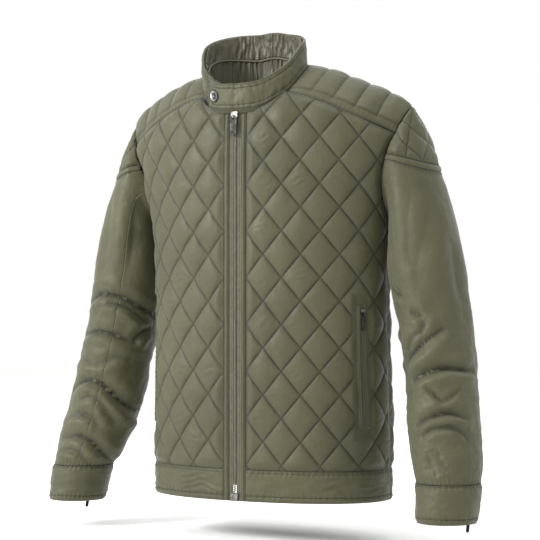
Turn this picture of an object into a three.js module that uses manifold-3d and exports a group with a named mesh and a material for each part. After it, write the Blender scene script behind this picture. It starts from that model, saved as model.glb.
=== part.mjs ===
// A quilted stand-collar jacket, filled out as if worn, in millimetres.
// +Z is up, the front faces -Y and the wearer's left is +X.
// The origin is the middle of the neck, level with the tops of the shoulders.
import * as THREE from 'three';
import { mergeVertices } from 'three/addons/utils/BufferGeometryUtils.js';
import Module from 'manifold-3d';

const wasm = await Module();
wasm.setup();

// Driving dimensions
const seamGap = 0.3;
const sideGap = 0.4;
const wall = 2.6;
const quiltWidth = 59;
const quiltHeight = 71;
const quiltPuff = 4;
const quiltTopRow = -120;
const frontEdge = 19;
const hemBottom = -673;
const hemTop = -625;
const quiltFade = 14;
const collarHeight = 41;
const collarWall = 3;
const collarFoot = 1.7;
const collarLean = 3;
const bandHeight = 9;
const capLow = -150;
const capDip = 18;

// The body's level sections: half width, the depth where it is widest, front and back
const body = [
  { z: -700, half: 199, mid: 12, front: -105, fore: 2.2, back: 127, aft: 2.2 },
  { z: -560, half: 199, mid: 12, front: -105, fore: 2.2, back: 126, aft: 2.2 },
  { z: -430, half: 196, mid: 10, front: -105, fore: 2.2, back: 120, aft: 2.2 },
  { z: -300, half: 198, mid: 9, front: -105, fore: 2.15, back: 113, aft: 2.2 },
  { z: -235, half: 206, mid: 10, front: -105, fore: 2.1, back: 112, aft: 2.1 },
  { z: -160, half: 230, mid: 12, front: -105, fore: 2.0, back: 112, aft: 2.0 },
  { z: -115, half: 248, mid: 13, front: -104, fore: 1.85, back: 107, aft: 1.9 },
  { z: -72, half: 243, mid: 13, front: -103, fore: 1.6, back: 92, aft: 1.7 },
  { z: -42, half: 186, mid: -3, front: -101, fore: 1.35, back: 76, aft: 1.55 },
  { z: -16, half: 120, mid: -18, front: -98, fore: 1.4, back: 56, aft: 1.6 },
  { z: 4, half: 90, mid: -27, front: -94, fore: 1.6, back: 40, aft: 1.8 },
  { z: 24, half: 78, mid: -32, front: -90, fore: 1.8, back: 24, aft: 2.0 },
];

// The neck seam by the angle round from the front: its reach from the neck's middle and height
const neckMiddle = -40;
const neck = [
  { turn: 0, reach: 63, z: -78 },
  { turn: 35, reach: 70, z: -73 },
  { turn: 65, reach: 80, z: -50 },
  { turn: 90, reach: 84, z: -17 },
  { turn: 130, reach: 76, z: 6 },
  { turn: 180, reach: 66, z: 17 },
];

// The sleeve's rings by their outermost and innermost points and their half depth
const sleeveRings = [
  { outX: 259, outZ: -106, inX: 210, inZ: -248, y: 16, along: 60 },
  { outX: 281, outZ: -165, inX: 209, inZ: -260, y: 15, along: 64 },
  { outX: 301, outZ: -225, inX: 208, inZ: -288, y: 14, along: 65 },
  { outX: 320, outZ: -300, inX: 209, inZ: -325, y: 14, along: 64 },
  { outX: 334, outZ: -385, inX: 222, inZ: -388, y: 12, along: 61 },
  { outX: 346, outZ: -455, inX: 234, inZ: -455, y: 4, along: 59 },
  { outX: 357, outZ: -530, inX: 248, inZ: -530, y: -12, along: 57 },
  { outX: 366, outZ: -580, inX: 260, inZ: -580, y: -24, along: 55 },
  { outX: 371, outZ: -635, inX: 278, inZ: -635, y: -40, along: 50 },
  { outX: 370, outZ: -691, inX: 286, inZ: -691, y: -54, along: 46 },
];

// The large sleeve folds: their middle by angle and height, slant, depth, half width and reach
const sleeveFolds = [
  { turn: 40, z: -435, slant: 0.5, depth: 7, width: 15, reach: 75 },
  { turn: 50, z: -485, slant: 0.3, depth: 5, width: 13, reach: 70 },
  { turn: 95, z: -400, slant: -0.3, depth: 6, width: 12, reach: 60 },
  { turn: 30, z: -545, slant: 0.25, depth: 5, width: 12, reach: 80 },
  { turn: 60, z: -590, slant: 0.2, depth: 4, width: 10, reach: 60 },
  { turn: -90, z: -420, slant: 0.4, depth: 5, width: 14, reach: 70 },
  { turn: -60, z: -560, slant: -0.3, depth: 4, width: 12, reach: 60 },
];

// The collar stands taller and wider open at the wearer's right: where, how far round, how much
const openSide = { middle: 105, reach: 80, rise: 11, lean: 11, lining: 0.2 };

// The armhole, as an ellipse seen from the side that follows the body's surface
const armhole = { middle: 26, half: 56, z: -156, rise: 86 };

// The cloth lies flat round a pocket: so far beside its line, past its ends, and fading in
const pocketFlat = { beside: 20, past: 12, fade: 14 };

// Zip sliders with their pull tabs: the slider's plate, and the tab's width and length
const zipParts = {
  front: { width: 11, length: 17, thick: 2.4, tabWidth: 11.5, tabLength: 28 },
  pocket: { width: 7, length: 14, thick: 2, tabWidth: 5, tabLength: 26 },
  cuff: { width: 7, length: 11, thick: 1.8, tabWidth: 5, tabLength: 24 },
};

// Colours and finishes
const cloth = { color: 0x6f6c52, roughness: 0.7, metalness: 0 };
const lining = { color: 0x5f5c46, roughness: 0.8, metalness: 0 };
const darkMetal = { color: 0x4a4a46, roughness: 0.4, metalness: 1 };
const brightMetal = { color: 0xb9b7ad, roughness: 0.3, metalness: 1 };

const jacket = new THREE.Group();
jacket.name = 'quilted_jacket';

function vec(x, y, z) {
  return new THREE.Vector3(x, y, z);
}

// A smooth value between the rows of a table, by the rows' key
function between(rows, key, name, at) {
  const last = rows.length - 1;
  let i = 0;
  while (i < last - 1 && at > rows[i + 1][key]) {
    i += 1;
  }
  const slope = (k) => {
    const low = rows[Math.max(k - 1, 0)];
    const high = rows[Math.min(k + 1, last)];
    return (high[name] - low[name]) / (high[key] - low[key]);
  };
  const a = rows[i];
  const b = rows[i + 1];
  const span = b[key] - a[key];
  const t = THREE.MathUtils.clamp((at - a[key]) / span, 0, 1);
  const t2 = t * t;
  const t3 = t2 * t;
  return (2 * t3 - 3 * t2 + 1) * a[name] + (t3 - 2 * t2 + t) * span * slope(i)
    + (3 * t2 - 2 * t3) * b[name] + (t3 - t2) * span * slope(i + 1);
}

function steps(from, to, count) {
  return Array.from({ length: count + 1 }, (_, i) => from + ((to - from) * i) / count);
}

// One level section of the body as points from the centre front round to the centre back
const sectionSteps = 48;
const sections = new Map();

function section(z) {
  const name = z.toFixed(3);
  if (!sections.has(name)) {
    const row = {};
    for (const key of ['half', 'mid', 'front', 'fore', 'back', 'aft']) {
      row[key] = between(body, 'z', key, z);
    }
    const points = [];
    for (let i = 0; i <= 2 * sectionSteps; i += 1) {
      const turn = (Math.PI * i) / (2 * sectionSteps);
      const isFront = i <= sectionSteps;
      const power = 2 / (isFront ? row.fore : row.aft);
      const depth = isFront ? row.front - row.mid : row.back - row.mid;
      const x = row.half * Math.pow(Math.max(Math.sin(turn), 0), power);
      points.push({ x, y: row.mid + depth * Math.pow(Math.abs(Math.cos(turn)), power), arc: 0 });
      if (i > 0) {
        const from = points[i - 1];
        points[i].arc = from.arc + Math.hypot(x - from.x, points[i].y - from.y);
      }
    }
    sections.set(name, { points, side: points[sectionSteps].arc, whole: points[2 * sectionSteps].arc });
  }
  return sections.get(name);
}

// The point of the body at a height and an arc length from the centre front, towards +X
function bodyPoint(arc, z) {
  const { points } = section(z);
  const reach = Math.abs(arc);
  let low = 0;
  let high = points.length - 1;
  while (high - low > 1) {
    const mid = (low + high) >> 1;
    if (points[mid].arc > reach) {
      high = mid;
    } else {
      low = mid;
    }
  }
  const a = points[low];
  const b = points[high];
  const t = (reach - a.arc) / (b.arc - a.arc);
  return vec((a.x + (b.x - a.x) * t) * Math.sign(arc || 1), a.y + (b.y - a.y) * t, z);
}

// The arc length from the centre front at which the body's section has a given x
function arcAtX(x, z, isBack) {
  const { points, side, whole } = section(z);
  let low = isBack ? side : 0;
  let high = isBack ? whole : side;
  for (let i = 0; i < 40; i += 1) {
    const mid = (low + high) / 2;
    if ((bodyPoint(mid, z).x < x) !== isBack) {
      low = mid;
    } else {
      high = mid;
    }
  }
  return Math.min((low + high) / 2, points[points.length - 1].arc);
}

// The outward normal of a surface given as a function of two lengths
function normalOf(surface, u, v, side = 1) {
  const step = 3;
  const du = surface(u + step, v).sub(surface(u - step, v));
  const dv = surface(u, v + step).sub(surface(u, v - step));
  return du.cross(dv).normalize().multiplyScalar(side);
}

// The armhole seam on one side of the body, by its angle from the top towards the front
function armholePoint(turn) {
  const z = armhole.z + armhole.rise * Math.cos(turn);
  const y = armhole.middle - armhole.half * Math.sin(turn);
  const { points } = section(z);
  let best = points[0];
  let gap = Infinity;
  for (let i = 1; i < points.length; i += 1) {
    const a = points[i - 1];
    const b = points[i];
    const t = THREE.MathUtils.clamp((y - a.y) / (b.y - a.y || 1), 0, 1);
    const near = Math.abs(a.y + (b.y - a.y) * t - y);
    if (near < gap) {
      gap = near;
      best = { x: a.x + (b.x - a.x) * t, y, arc: a.arc + (b.arc - a.arc) * t };
    }
  }
  return { point: vec(best.x, y, z), arc: best.arc, z };
}

// A closed body from an outer and an inner grid of points, open or joined round
function gridSolid(outer, inner, isRing = false) {
  const rows = outer.length;
  const cols = outer[0].length;
  const points = [...outer.flat(), ...inner.flat()];
  const at = (layer, i, j) => layer * rows * cols + i * cols + (j % cols);
  const faces = [];
  const quad = (a, b, c, d) => faces.push(a, b, c, a, c, d);
  const spans = isRing ? cols : cols - 1;
  for (let i = 0; i < rows - 1; i += 1) {
    for (let j = 0; j < spans; j += 1) {
      quad(at(0, i, j), at(0, i, j + 1), at(0, i + 1, j + 1), at(0, i + 1, j));
      quad(at(1, i, j), at(1, i + 1, j), at(1, i + 1, j + 1), at(1, i, j + 1));
    }
  }
  for (let j = 0; j < spans; j += 1) {
    quad(at(0, 0, j), at(1, 0, j), at(1, 0, j + 1), at(0, 0, j + 1));
    quad(at(0, rows - 1, j), at(0, rows - 1, j + 1), at(1, rows - 1, j + 1), at(1, rows - 1, j));
  }
  if (!isRing) {
    for (let i = 0; i < rows - 1; i += 1) {
      quad(at(0, i, 0), at(0, i + 1, 0), at(1, i + 1, 0), at(1, i, 0));
      quad(at(0, i, cols - 1), at(1, i, cols - 1), at(1, i + 1, cols - 1), at(0, i + 1, cols - 1));
    }
  }
  const geometry = new THREE.BufferGeometry();
  geometry.setAttribute('position',
    new THREE.Float32BufferAttribute(points.flatMap((p) => [p.x, p.y, p.z]), 3));
  geometry.setIndex(faces);
  return geometry;
}

// Turns a geometry's faces outward, whichever way its grid was wound
function faceOut(geometry) {
  const index = geometry.getIndex().array;
  const position = geometry.getAttribute('position');
  const p = [0, 1, 2].map(() => new THREE.Vector3());
  let volume = 0;
  for (let i = 0; i < index.length; i += 3) {
    p.forEach((corner, k) => corner.fromBufferAttribute(position, index[i + k]));
    volume += p[0].dot(p[1].clone().cross(p[2]));
  }
  if (volume < 0) {
    geometry.setIndex(Array.from(index).reverse());
  }
  return geometry;
}

function add(name, geometry, finish) {
  const mesh = new THREE.Mesh(faceOut(geometry), new THREE.MeshStandardMaterial(finish));
  mesh.name = name;
  jacket.add(mesh);
  return mesh;
}

function mirrored(geometry) {
  const copy = geometry.clone();
  copy.scale(-1, 1, 1);
  copy.setIndex(Array.from(copy.getIndex().array).reverse());
  return copy;
}

// Adds a piece for the wearer's left and its mirror image for the right
function addPair(name, geometry, finish) {
  add(`${name}_left`, geometry, finish);
  add(`${name}_right`, mirrored(geometry), finish);
}

// The sewn puffs of the diamond quilting at a point of the flat cloth
function diamondPuff(across, z) {
  const a = across / quiltWidth + (z - quiltTopRow) / quiltHeight;
  const b = across / quiltWidth - (z - quiltTopRow) / quiltHeight;
  return quiltPuff * Math.sqrt(Math.abs(Math.sin(Math.PI * a) * Math.sin(Math.PI * b)));
}

function distanceToOutline(outline, u, z) {
  let nearest = Infinity;
  for (let i = 0; i < outline.length; i += 1) {
    const a = outline[i];
    const b = outline[(i + 1) % outline.length];
    const du = b.x - a.x;
    const dz = b.y - a.y;
    const along = THREE.MathUtils.clamp(((u - a.x) * du + (z - a.y) * dz) / (du * du + dz * dz), 0, 1);
    nearest = Math.min(nearest, Math.hypot(u - a.x - du * along, z - a.y - dz * along));
  }
  return nearest;
}

function toManifold(geometry) {
  return new wasm.Manifold(new wasm.Mesh({
    numProp: 3,
    vertProperties: new Float32Array(geometry.getAttribute('position').array),
    triVerts: new Uint32Array(geometry.getIndex().array),
  }));
}

// A closed wall of flat quilted cloth: a lattice of outer points over a sparser inner grid
const innerCols = 2;
const innerRows = 4;

function flatCloth(uLow, uHigh, origin, zLow, zHigh) {
  const stepU = quiltWidth / 4;
  const stepZ = quiltHeight / 4;
  const firstU = Math.floor((uLow - origin) / (innerCols * stepU)) * innerCols;
  const lastU = Math.ceil((uHigh - origin) / (innerCols * stepU)) * innerCols;
  const firstZ = Math.floor((zLow - quiltTopRow) / (innerRows * stepZ)) * innerRows;
  const lastZ = Math.ceil((zHigh - quiltTopRow) / (innerRows * stepZ)) * innerRows;
  const cols = lastU - firstU;
  const rows = lastZ - firstZ;
  const points = [];
  const faces = [];
  const layer = (colStep, rowStep, height) => {
    const start = points.length / 3;
    const width = cols / colStep + 1;
    for (let i = 0; i <= rows; i += rowStep) {
      for (let j = 0; j <= cols; j += colStep) {
        const across = (firstU + j) * stepU;
        const z = quiltTopRow + (firstZ + i) * stepZ;
        points.push(origin + across, z, height(across, z));
      }
    }
    return (i, j) => start + (i / rowStep) * width + j / colStep;
  };
  const bow = (across, z) => 1e-5 * (across * across + (z - zLow) * (z - zLow));
  const outer = layer(1, 1, (across, z) => 1 + diamondPuff(across, z) + bow(across, z));
  const inner = layer(innerCols, innerRows, (across, z) => -wall - bow(across, z));
  for (let i = 0; i < rows; i += 1) {
    for (let j = 0; j < cols; j += 1) {
      const [a, b, c, d] = [outer(i, j), outer(i, j + 1), outer(i + 1, j + 1), outer(i + 1, j)];
      const risesRight = ((firstU + j >> 1) + (firstZ + i >> 1)) % 2 === 0;
      faces.push(...(risesRight ? [a, b, c, a, c, d] : [a, b, d, b, c, d]));
    }
  }
  for (let i = 0; i < rows; i += innerRows) {
    for (let j = 0; j < cols; j += innerCols) {
      const [a, b] = [inner(i, j), inner(i, j + innerCols)];
      const [c, d] = [inner(i + innerRows, j + innerCols), inner(i + innerRows, j)];
      faces.push(a, c, b, a, d, c);
    }
  }
  // A strip of the rim from a run of outer points to the two inner points behind its ends
  const rim = (run, from, to) => {
    for (let k = 0; k < run.length - 1; k += 1) {
      faces.push(from, run[k + 1], run[k]);
    }
    faces.push(from, to, run[run.length - 1]);
  };
  for (let j = 0; j < cols; j += innerCols) {
    const low = steps(j, j + innerCols, innerCols);
    rim(low.map((k) => outer(0, k)), inner(0, j), inner(0, j + innerCols));
    rim(low.reverse().map((k) => outer(rows, k)), inner(rows, j + innerCols), inner(rows, j));
  }
  for (let i = 0; i < rows; i += innerRows) {
    const run = steps(i, i + innerRows, innerRows);
    rim(run.map((k) => outer(k, cols)), inner(i, cols), inner(i + innerRows, cols));
    rim(run.reverse().map((k) => outer(k, 0)), inner(i + innerRows, 0), inner(i, 0));
  }
  const geometry = new THREE.BufferGeometry();
  geometry.setAttribute('position', new THREE.Float32BufferAttribute(points, 3));
  geometry.setIndex(faces);
  return geometry;
}

// A quilted panel: flat cloth cut to its outline, then laid on the body
function quiltedPanel(outline, origin, surface, side, flatten = () => 1) {
  const us = outline.map((p) => p.x);
  const zs = outline.map((p) => p.y);
  const margin = 5;
  const uncut = toManifold(flatCloth(Math.min(...us) - margin, Math.max(...us) + margin, origin,
    Math.min(...zs) - margin, Math.max(...zs) + margin));
  const depth = 60;
  const cutter = new THREE.ExtrudeGeometry(new THREE.Shape(outline), { depth, bevelEnabled: false });
  cutter.translate(0, 0, -depth / 2);
  cutter.deleteAttribute('normal');
  cutter.deleteAttribute('uv');
  const cut = uncut.intersect(toManifold(mergeVertices(cutter, 1e-3))).getMesh();
  const geometry = new THREE.BufferGeometry();
  const positions = [];
  for (let i = 0; i < cut.vertProperties.length; i += cut.numProp) {
    const [u, z, height] = cut.vertProperties.subarray(i, i + 3);
    const fade = THREE.MathUtils.smoothstep(distanceToOutline(outline, u, z), 0, quiltFade);
    const out = height < 0 ? -wall : diamondPuff(u - origin, z) * fade * flatten(u, z);
    const point = surface(u, z).addScaledVector(normalOf(surface, u, z, side), out);
    positions.push(point.x, point.y, point.z);
  }
  geometry.setAttribute('position', new THREE.Float32BufferAttribute(positions, 3));
  geometry.setIndex(Array.from(cut.triVerts));
  return geometry;
}

// The neck seam: it follows the body in front and behind and crosses the shoulder between
function neckPoint(turn) {
  const reach = between(neck, 'turn', 'reach', turn);
  const z = between(neck, 'turn', 'z', turn);
  const x = reach * Math.sin(THREE.MathUtils.degToRad(turn));
  const y = neckMiddle - reach * Math.cos(THREE.MathUtils.degToRad(turn));
  return vec(x, y, z);
}

// The shoulder seams and the ridge, from the neck to the armhole
const yokeFrontTurn = 66;
const yokeBackTurn = 122;
const yokeFront = [
  { x: 110, z: -58 }, { x: 148, z: -73 }, { x: 186, z: -91 },
];
const yokeBack = [
  { x: 105, z: -22 }, { x: 145, z: -48 }, { x: 188, z: -80 },
];
const ridge = [
  { x: 118, y: -22, z: -15 }, { x: 154, y: -10, z: -28 }, { x: 188, y: 2, z: -42 },
  { x: 218, y: 14, z: -56 },
];
const armholeCorner = THREE.MathUtils.degToRad(62);

function onBody(x, z, isBack) {
  return bodyPoint(arcAtX(x, z, isBack), z);
}

function curveThrough(points) {
  return new THREE.CatmullRomCurve3(points, false, 'centripetal');
}

const frontSeam = curveThrough([neckPoint(yokeFrontTurn),
  ...yokeFront.map((p) => onBody(p.x, p.z, false)), armholePoint(armholeCorner).point]);
const backSeam = curveThrough([neckPoint(yokeBackTurn),
  ...yokeBack.map((p) => onBody(p.x, p.z, true)), armholePoint(-armholeCorner).point]);
const ridgeLine = curveThrough([neckPoint((yokeFrontTurn + yokeBackTurn) / 2),
  ...ridge.map((p) => vec(p.x, p.y, p.z)), armholePoint(0).point]);

// The shoulder before its ends are drawn to the neck and the armhole
function yokePlain(along, across) {
  const front = frontSeam.getPointAt(along).multiplyScalar((across * (across + 1)) / 2);
  const top = ridgeLine.getPointAt(along).multiplyScalar(1 - across * across);
  const back = backSeam.getPointAt(along).multiplyScalar((across * (across - 1)) / 2);
  return front.add(top).add(back);
}

// A point of the shoulder: along from neck to armhole 0 to 1, across from back to front -1 to 1
function yokePoint(along, across) {
  const point = yokePlain(along, across);
  const drawTo = (target, end, weight) => point.addScaledVector(target.sub(yokePlain(end, across)), weight);
  const middleTurn = (yokeFrontTurn + yokeBackTurn) / 2;
  const halfTurn = (yokeBackTurn - yokeFrontTurn) / 2;
  drawTo(neckPoint(middleTurn - across * halfTurn), 0, Math.pow(Math.max(1 - along * 4, 0), 2));
  drawTo(armholePoint(across * armholeCorner).point, 1, Math.pow(Math.max(along * 4 - 3, 0), 2));
  return point;
}

// Outlines in flat cloth, across by height
const flat = (u, z) => new THREE.Vector2(u, z);
const half = seamGap / 2;

function armholeRun(isBack, gap) {
  const run = [];
  for (let i = 0; i <= 9; i += 1) {
    const turn = THREE.MathUtils.lerp(armholeCorner, Math.PI, i / 9) * (isBack ? -1 : 1);
    const hole = armholePoint(turn);
    const u = isBack ? section(hole.z).whole - hole.arc : hole.arc;
    const inward = gap * Math.max(Math.abs(Math.sin(turn)), 0.5);
    run.push(flat(u - inward, hole.z + gap * Math.min(Math.cos(turn), 0)));
  }
  return run;
}

// The side seam runs straight down from under the arm
const underArm = armholePoint(Math.PI);
const sideShift = underArm.arc - section(underArm.z).side;

function sideArc(z, isBack) {
  const { side, whole } = section(z);
  return isBack ? whole - side - sideShift - sideGap : side + sideShift - sideGap;
}

function sideRun(isBack) {
  return steps(underArm.z - 2, hemTop + seamGap, 20).map((z) => flat(sideArc(z, isBack), z));
}

function neckRun(turns, isBack) {
  return turns.map((turn) => {
    const p = neckPoint(turn);
    const arc = arcAtX(p.x, p.z, isBack);
    return flat(isBack ? section(p.z).whole - arc : arc, p.z - half);
  });
}

function seamRun(seam, isBack) {
  return [0.25, 0.5, 0.75].map((at) => {
    const p = seam.getPointAt(at);
    const arc = arcAtX(p.x, p.z, isBack);
    return flat(isBack ? section(p.z).whole - arc : arc, p.z - half);
  });
}

function frontOutline() {
  const neckStart = THREE.MathUtils.radToDeg(Math.asin(frontEdge / neck[0].reach));
  return [
    flat(frontEdge, hemTop + seamGap),
    flat(frontEdge, neckPoint(neckStart).z - half),
    ...neckRun([24, 31, 38, 45, 52, 59, yokeFrontTurn], false),
    ...seamRun(frontSeam, false),
    ...armholeRun(false, 1),
    ...sideRun(false),
  ];
}

function backOutline() {
  const right = [
    ...sideRun(true).reverse(),
    ...armholeRun(true, 1).reverse(),
    ...seamRun(backSeam, true).reverse(),
    ...neckRun([yokeBackTurn, 133, 145, 157, 168], true),
  ];
  const left = right.map((p) => flat(-p.x, p.y)).reverse();
  return [...right, flat(0, neckPoint(180).z - half), ...left];
}

function frontSurface(u, z) {
  return bodyPoint(u, z);
}

function backSurface(u, z) {
  const arc = section(z).whole - Math.abs(u);
  return bodyPoint(u < 0 ? -arc : arc, z);
}

// Pocket openings: their distance in front of the side seam and their ends
const pocketInset = 50;
const pocketTop = -372;
const pocketBottom = -562;
const weltWidth = 8;

function nearPocket(u, z) {
  const line = section(z).side - pocketInset;
  const past = Math.max(pocketBottom - z, z - pocketTop) - pocketFlat.past;
  const off = Math.max(Math.abs(u - line) - pocketFlat.beside, past);
  return THREE.MathUtils.smoothstep(off, 0, pocketFlat.fade);
}

const front = quiltedPanel(frontOutline(), frontEdge, frontSurface, 1, nearPocket);
addPair('front', front, cloth);
add('back', quiltedPanel(backOutline(), 0, backSurface, -1), cloth);

// A wall made of rows of surface points with the outer and inner heights off the surface
function wallOn(surface, side, us, vs, outerAt, innerAt) {
  const layer = (height) => vs.map((v) => us(v).map((u) => surface(u, v)
    .addScaledVector(normalOf(surface, u, v, side), height(u, v))));
  return gridSolid(layer(outerAt), layer(innerAt));
}

// Shoulder yokes, with channels that run over the shoulder from front to back
const yokeRibs = 5;
const ribPuff = 3.2;
const ribShape = [0, 0.8, 1, 0.8];
const yokeLong = 160;
const yokeWide = 60;

function yokeSurface(u, v) {
  return yokePoint(THREE.MathUtils.clamp(u / yokeLong, 0, 1), v / yokeWide);
}

function yoke() {
  const alongs = steps(0.006, 0.985, yokeRibs * ribShape.length);
  const acrosses = steps(-1, 1, 8);
  const layer = (height) => acrosses.map((across, i) => alongs.map((along, j) => {
    const isEdge = i === 0 || i === acrosses.length - 1;
    const reach = isEdge ? across * 0.988 : across;
    const normal = normalOf(yokeSurface, along * yokeLong, reach * yokeWide, -1);
    return yokePoint(along, reach).addScaledVector(normal, height(j, isEdge));
  }));
  const outer = layer((j, isEdge) => (isEdge ? 0 : ribPuff * ribShape[j % ribShape.length]));
  return gridSolid(outer, layer(() => -wall));
}
addPair('yoke', yoke(), cloth);

// A point of the sleeve by its angle from the top towards the front and its drop 0 to 1
const ringCount = sleeveRings.length;
const sleeveRows = sleeveRings.map((ring, i) => ({ ...ring, at: (i + 1) / ringCount }));

function ringPoint(turn, at) {
  const get = (name) => between(sleeveRows, 'at', name, at);
  const out = (1 + Math.cos(turn)) / 2;
  const x = THREE.MathUtils.lerp(get('inX'), get('outX'), out);
  const z = THREE.MathUtils.lerp(get('inZ'), get('outZ'), out);
  return vec(x, get('y') - get('along') * Math.sin(turn), z);
}

function sleeveBase(turn, drop) {
  const first = 1 / ringCount;
  if (drop >= first) {
    return ringPoint(turn, drop);
  }
  const start = armholePoint(turn).point;
  const end = ringPoint(turn, first);
  const leave = ringPoint(turn, 2 * first).sub(end).multiplyScalar(0.35);
  const t = Math.max(drop / first, 0);
  const middle = end.clone().sub(leave);
  const a = start.multiplyScalar((1 - t) * (1 - t));
  return a.add(middle.multiplyScalar(2 * t * (1 - t))).add(end.multiplyScalar(t * t));
}

const turnScale = 58;
const dropScale = 640;

// How far the large folds lift or sink the sleeve's cloth at a point
function foldLift(turn, z) {
  let lift = 0;
  for (const fold of sleeveFolds) {
    const from = turn - THREE.MathUtils.degToRad(fold.turn);
    const away = THREE.MathUtils.euclideanModulo(from + Math.PI, 2 * Math.PI) - Math.PI;
    const along = away * turnScale;
    const across = (z - fold.z - along * fold.slant) / fold.width;
    const fade = Math.exp(-Math.pow(along / fold.reach, 2) * 2);
    lift -= fold.depth * fade * Math.exp(-across * across);
    lift += 0.6 * fold.depth * fade * Math.exp(-Math.pow(across - 1.8, 2));
  }
  return lift;
}

function sleevePlain(u, v) {
  return sleeveBase(u / turnScale, -v / dropScale);
}

function sleevePoint(turn, drop, lift) {
  const point = sleevePlain(turn * turnScale, -drop * dropScale);
  return point.addScaledVector(normalOf(sleevePlain, turn * turnScale, -drop * dropScale, -1), lift);
}

// The drop at which the sleeve passes the line of the cap's lower edge, moved down by some length
function capLine(turn, below) {
  const level = capLow - capDip * Math.max(Math.cos(turn), 0) - below;
  let low = 0;
  let high = 0.5;
  if (sleeveBase(turn, 0).z <= level) {
    return 0;
  }
  for (let i = 0; i < 30; i += 1) {
    const mid = (low + high) / 2;
    if (sleeveBase(turn, mid).z > level) {
      low = mid;
    } else {
      high = mid;
    }
  }
  return (low + high) / 2;
}

const sleeveSeam = THREE.MathUtils.degToRad(112);
const sleeveSplit = 0.007;
const armholeClear = 0.0035;
const rowClear = 0.0007;
const sleeveEnd = 0.9;
const endClear = 0.0006;
const capEnd = THREE.MathUtils.degToRad(85.5);
const capTurns = steps(-capEnd, capEnd, 14);

// The stitched band that runs across the sleeve under the quilted cap
function bandTop(turn) {
  return Math.max(capLine(turn, -bandHeight / 2), 2.2 * armholeClear);
}

function bandFoot(turn) {
  return Math.max(capLine(turn, bandHeight / 2), bandTop(turn) + armholeClear);
}

function sleevePart(turns, rowCount) {
  const rows = steps(0, 1, rowCount);
  const layer = (isOuter) => rows.map((row) => turns.map((turn) => {
    const isUnderBand = Math.abs(turn) <= capEnd + 1e-6;
    const start = isUnderBand ? bandFoot(turn) + rowClear
      : Math.max(capLine(turn, bandHeight / 2), armholeClear);
    const drop = THREE.MathUtils.lerp(start, sleeveEnd - endClear, row);
    const lift = foldLift(turn, sleeveBase(turn, drop).z) * Math.sin(Math.PI * row);
    return sleevePoint(turn, drop, (isOuter ? 0 : -wall) + lift);
  }));
  return gridSolid(layer(true), layer(false));
}
const besideBand = (capEnd + sleeveSeam) / 2;
addPair('upper_sleeve', sleevePart([sleeveSplit - sleeveSeam, -besideBand, ...capTurns, besideBand,
  sleeveSeam - sleeveSplit], 15), cloth);
addPair('under_sleeve', sleevePart(steps(sleeveSeam + sleeveSplit,
  2 * Math.PI - sleeveSeam - sleeveSplit, 8), 15), cloth);

// The quilted cap over the top of the sleeve
const capQuiltWidth = 52;
const capQuiltHeight = 62;

function capPuff(turn, drop) {
  const across = (turn * turnScale) / capQuiltWidth;
  const down = (drop * dropScale) / capQuiltHeight;
  return quiltPuff * Math.sqrt(Math.abs(Math.sin(Math.PI * (across + down))
    * Math.sin(Math.PI * (across - down))));
}

function sleeveCap() {
  const rows = steps(0, 1, 6);
  const layer = (isOuter) => rows.map((row, i) => capTurns.map((turn, j) => {
    const drop = THREE.MathUtils.lerp(armholeClear, bandTop(turn) - rowClear, row);
    const isEdge = i === 0 || i === rows.length - 1 || j === 0 || j === capTurns.length - 1;
    const outer = isEdge ? 0 : capPuff(turn, drop);
    return sleevePoint(turn, drop, isOuter ? outer : -wall);
  }));
  return gridSolid(layer(true), layer(false));
}
addPair('sleeve_cap', sleeveCap(), cloth);

function capBand() {
  const rows = [{ row: 0, lift: 1.2 }, { row: 0.5, lift: 2.4 }, { row: 1, lift: 1.2 }];
  const layer = (isOuter) => rows.map(({ row, lift }) => capTurns.map((turn) => {
    const drop = THREE.MathUtils.lerp(bandTop(turn), bandFoot(turn), row);
    return sleevePoint(turn, drop, isOuter ? lift : -wall);
  }));
  return gridSolid(layer(true), layer(false));
}
addPair('cap_band', capBand(), cloth);

// Cuffs, open at the hand, a little fuller than the sleeve's end
function cuff() {
  const turns = steps(0, 2 * Math.PI, 22).slice(0, -1);
  const rows = steps(0, 1, 3);
  const layer = (isOuter) => rows.map((row) => turns.map((turn) => {
    const drop = THREE.MathUtils.lerp(sleeveEnd + endClear, 1, row);
    const bulge = isOuter ? 1 + Math.sin(Math.PI * row) : -wall;
    return sleevePoint(turn, drop, bulge);
  }));
  return gridSolid(layer(true), layer(false), true);
}
addPair('cuff', cuff(), cloth);

// The hem band, in three pieces
const bandRows = [hemBottom, hemBottom + 8, hemTop - 6, hemTop];
const bandLift = [0, 1.4, 1.4, 0];

function hemBand(surface, side, from, to, count) {
  return wallOn(surface, side, (z) => steps(from, to(z), count), bandRows,
    (u, z) => bandLift[bandRows.indexOf(z)], () => -wall);
}

addPair('hem_band', hemBand(frontSurface, 1, frontEdge, (z) => sideArc(z, false), 12), cloth);
const backBandEnd = sideArc(hemBottom, true);
add('hem_band_back', hemBand(backSurface, -1, -backBandEnd, () => backBandEnd, 20), cloth);

// The stand collar: one strip from the tab's end round the neck to the end under the tab
const tabEnd = -43.5;
const collarEnd = 350;
const tabLift = collarWall + 0.6;

// How far the collar stands open at a turn, 0 to 1
function openness(turn) {
  const wrapped = THREE.MathUtils.euclideanModulo(turn + 180, 360) - 180;
  const share = THREE.MathUtils.clamp((wrapped + openSide.middle) / openSide.reach, -1, 1);
  return Math.pow(Math.cos((share * Math.PI) / 2), 2);
}

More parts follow.
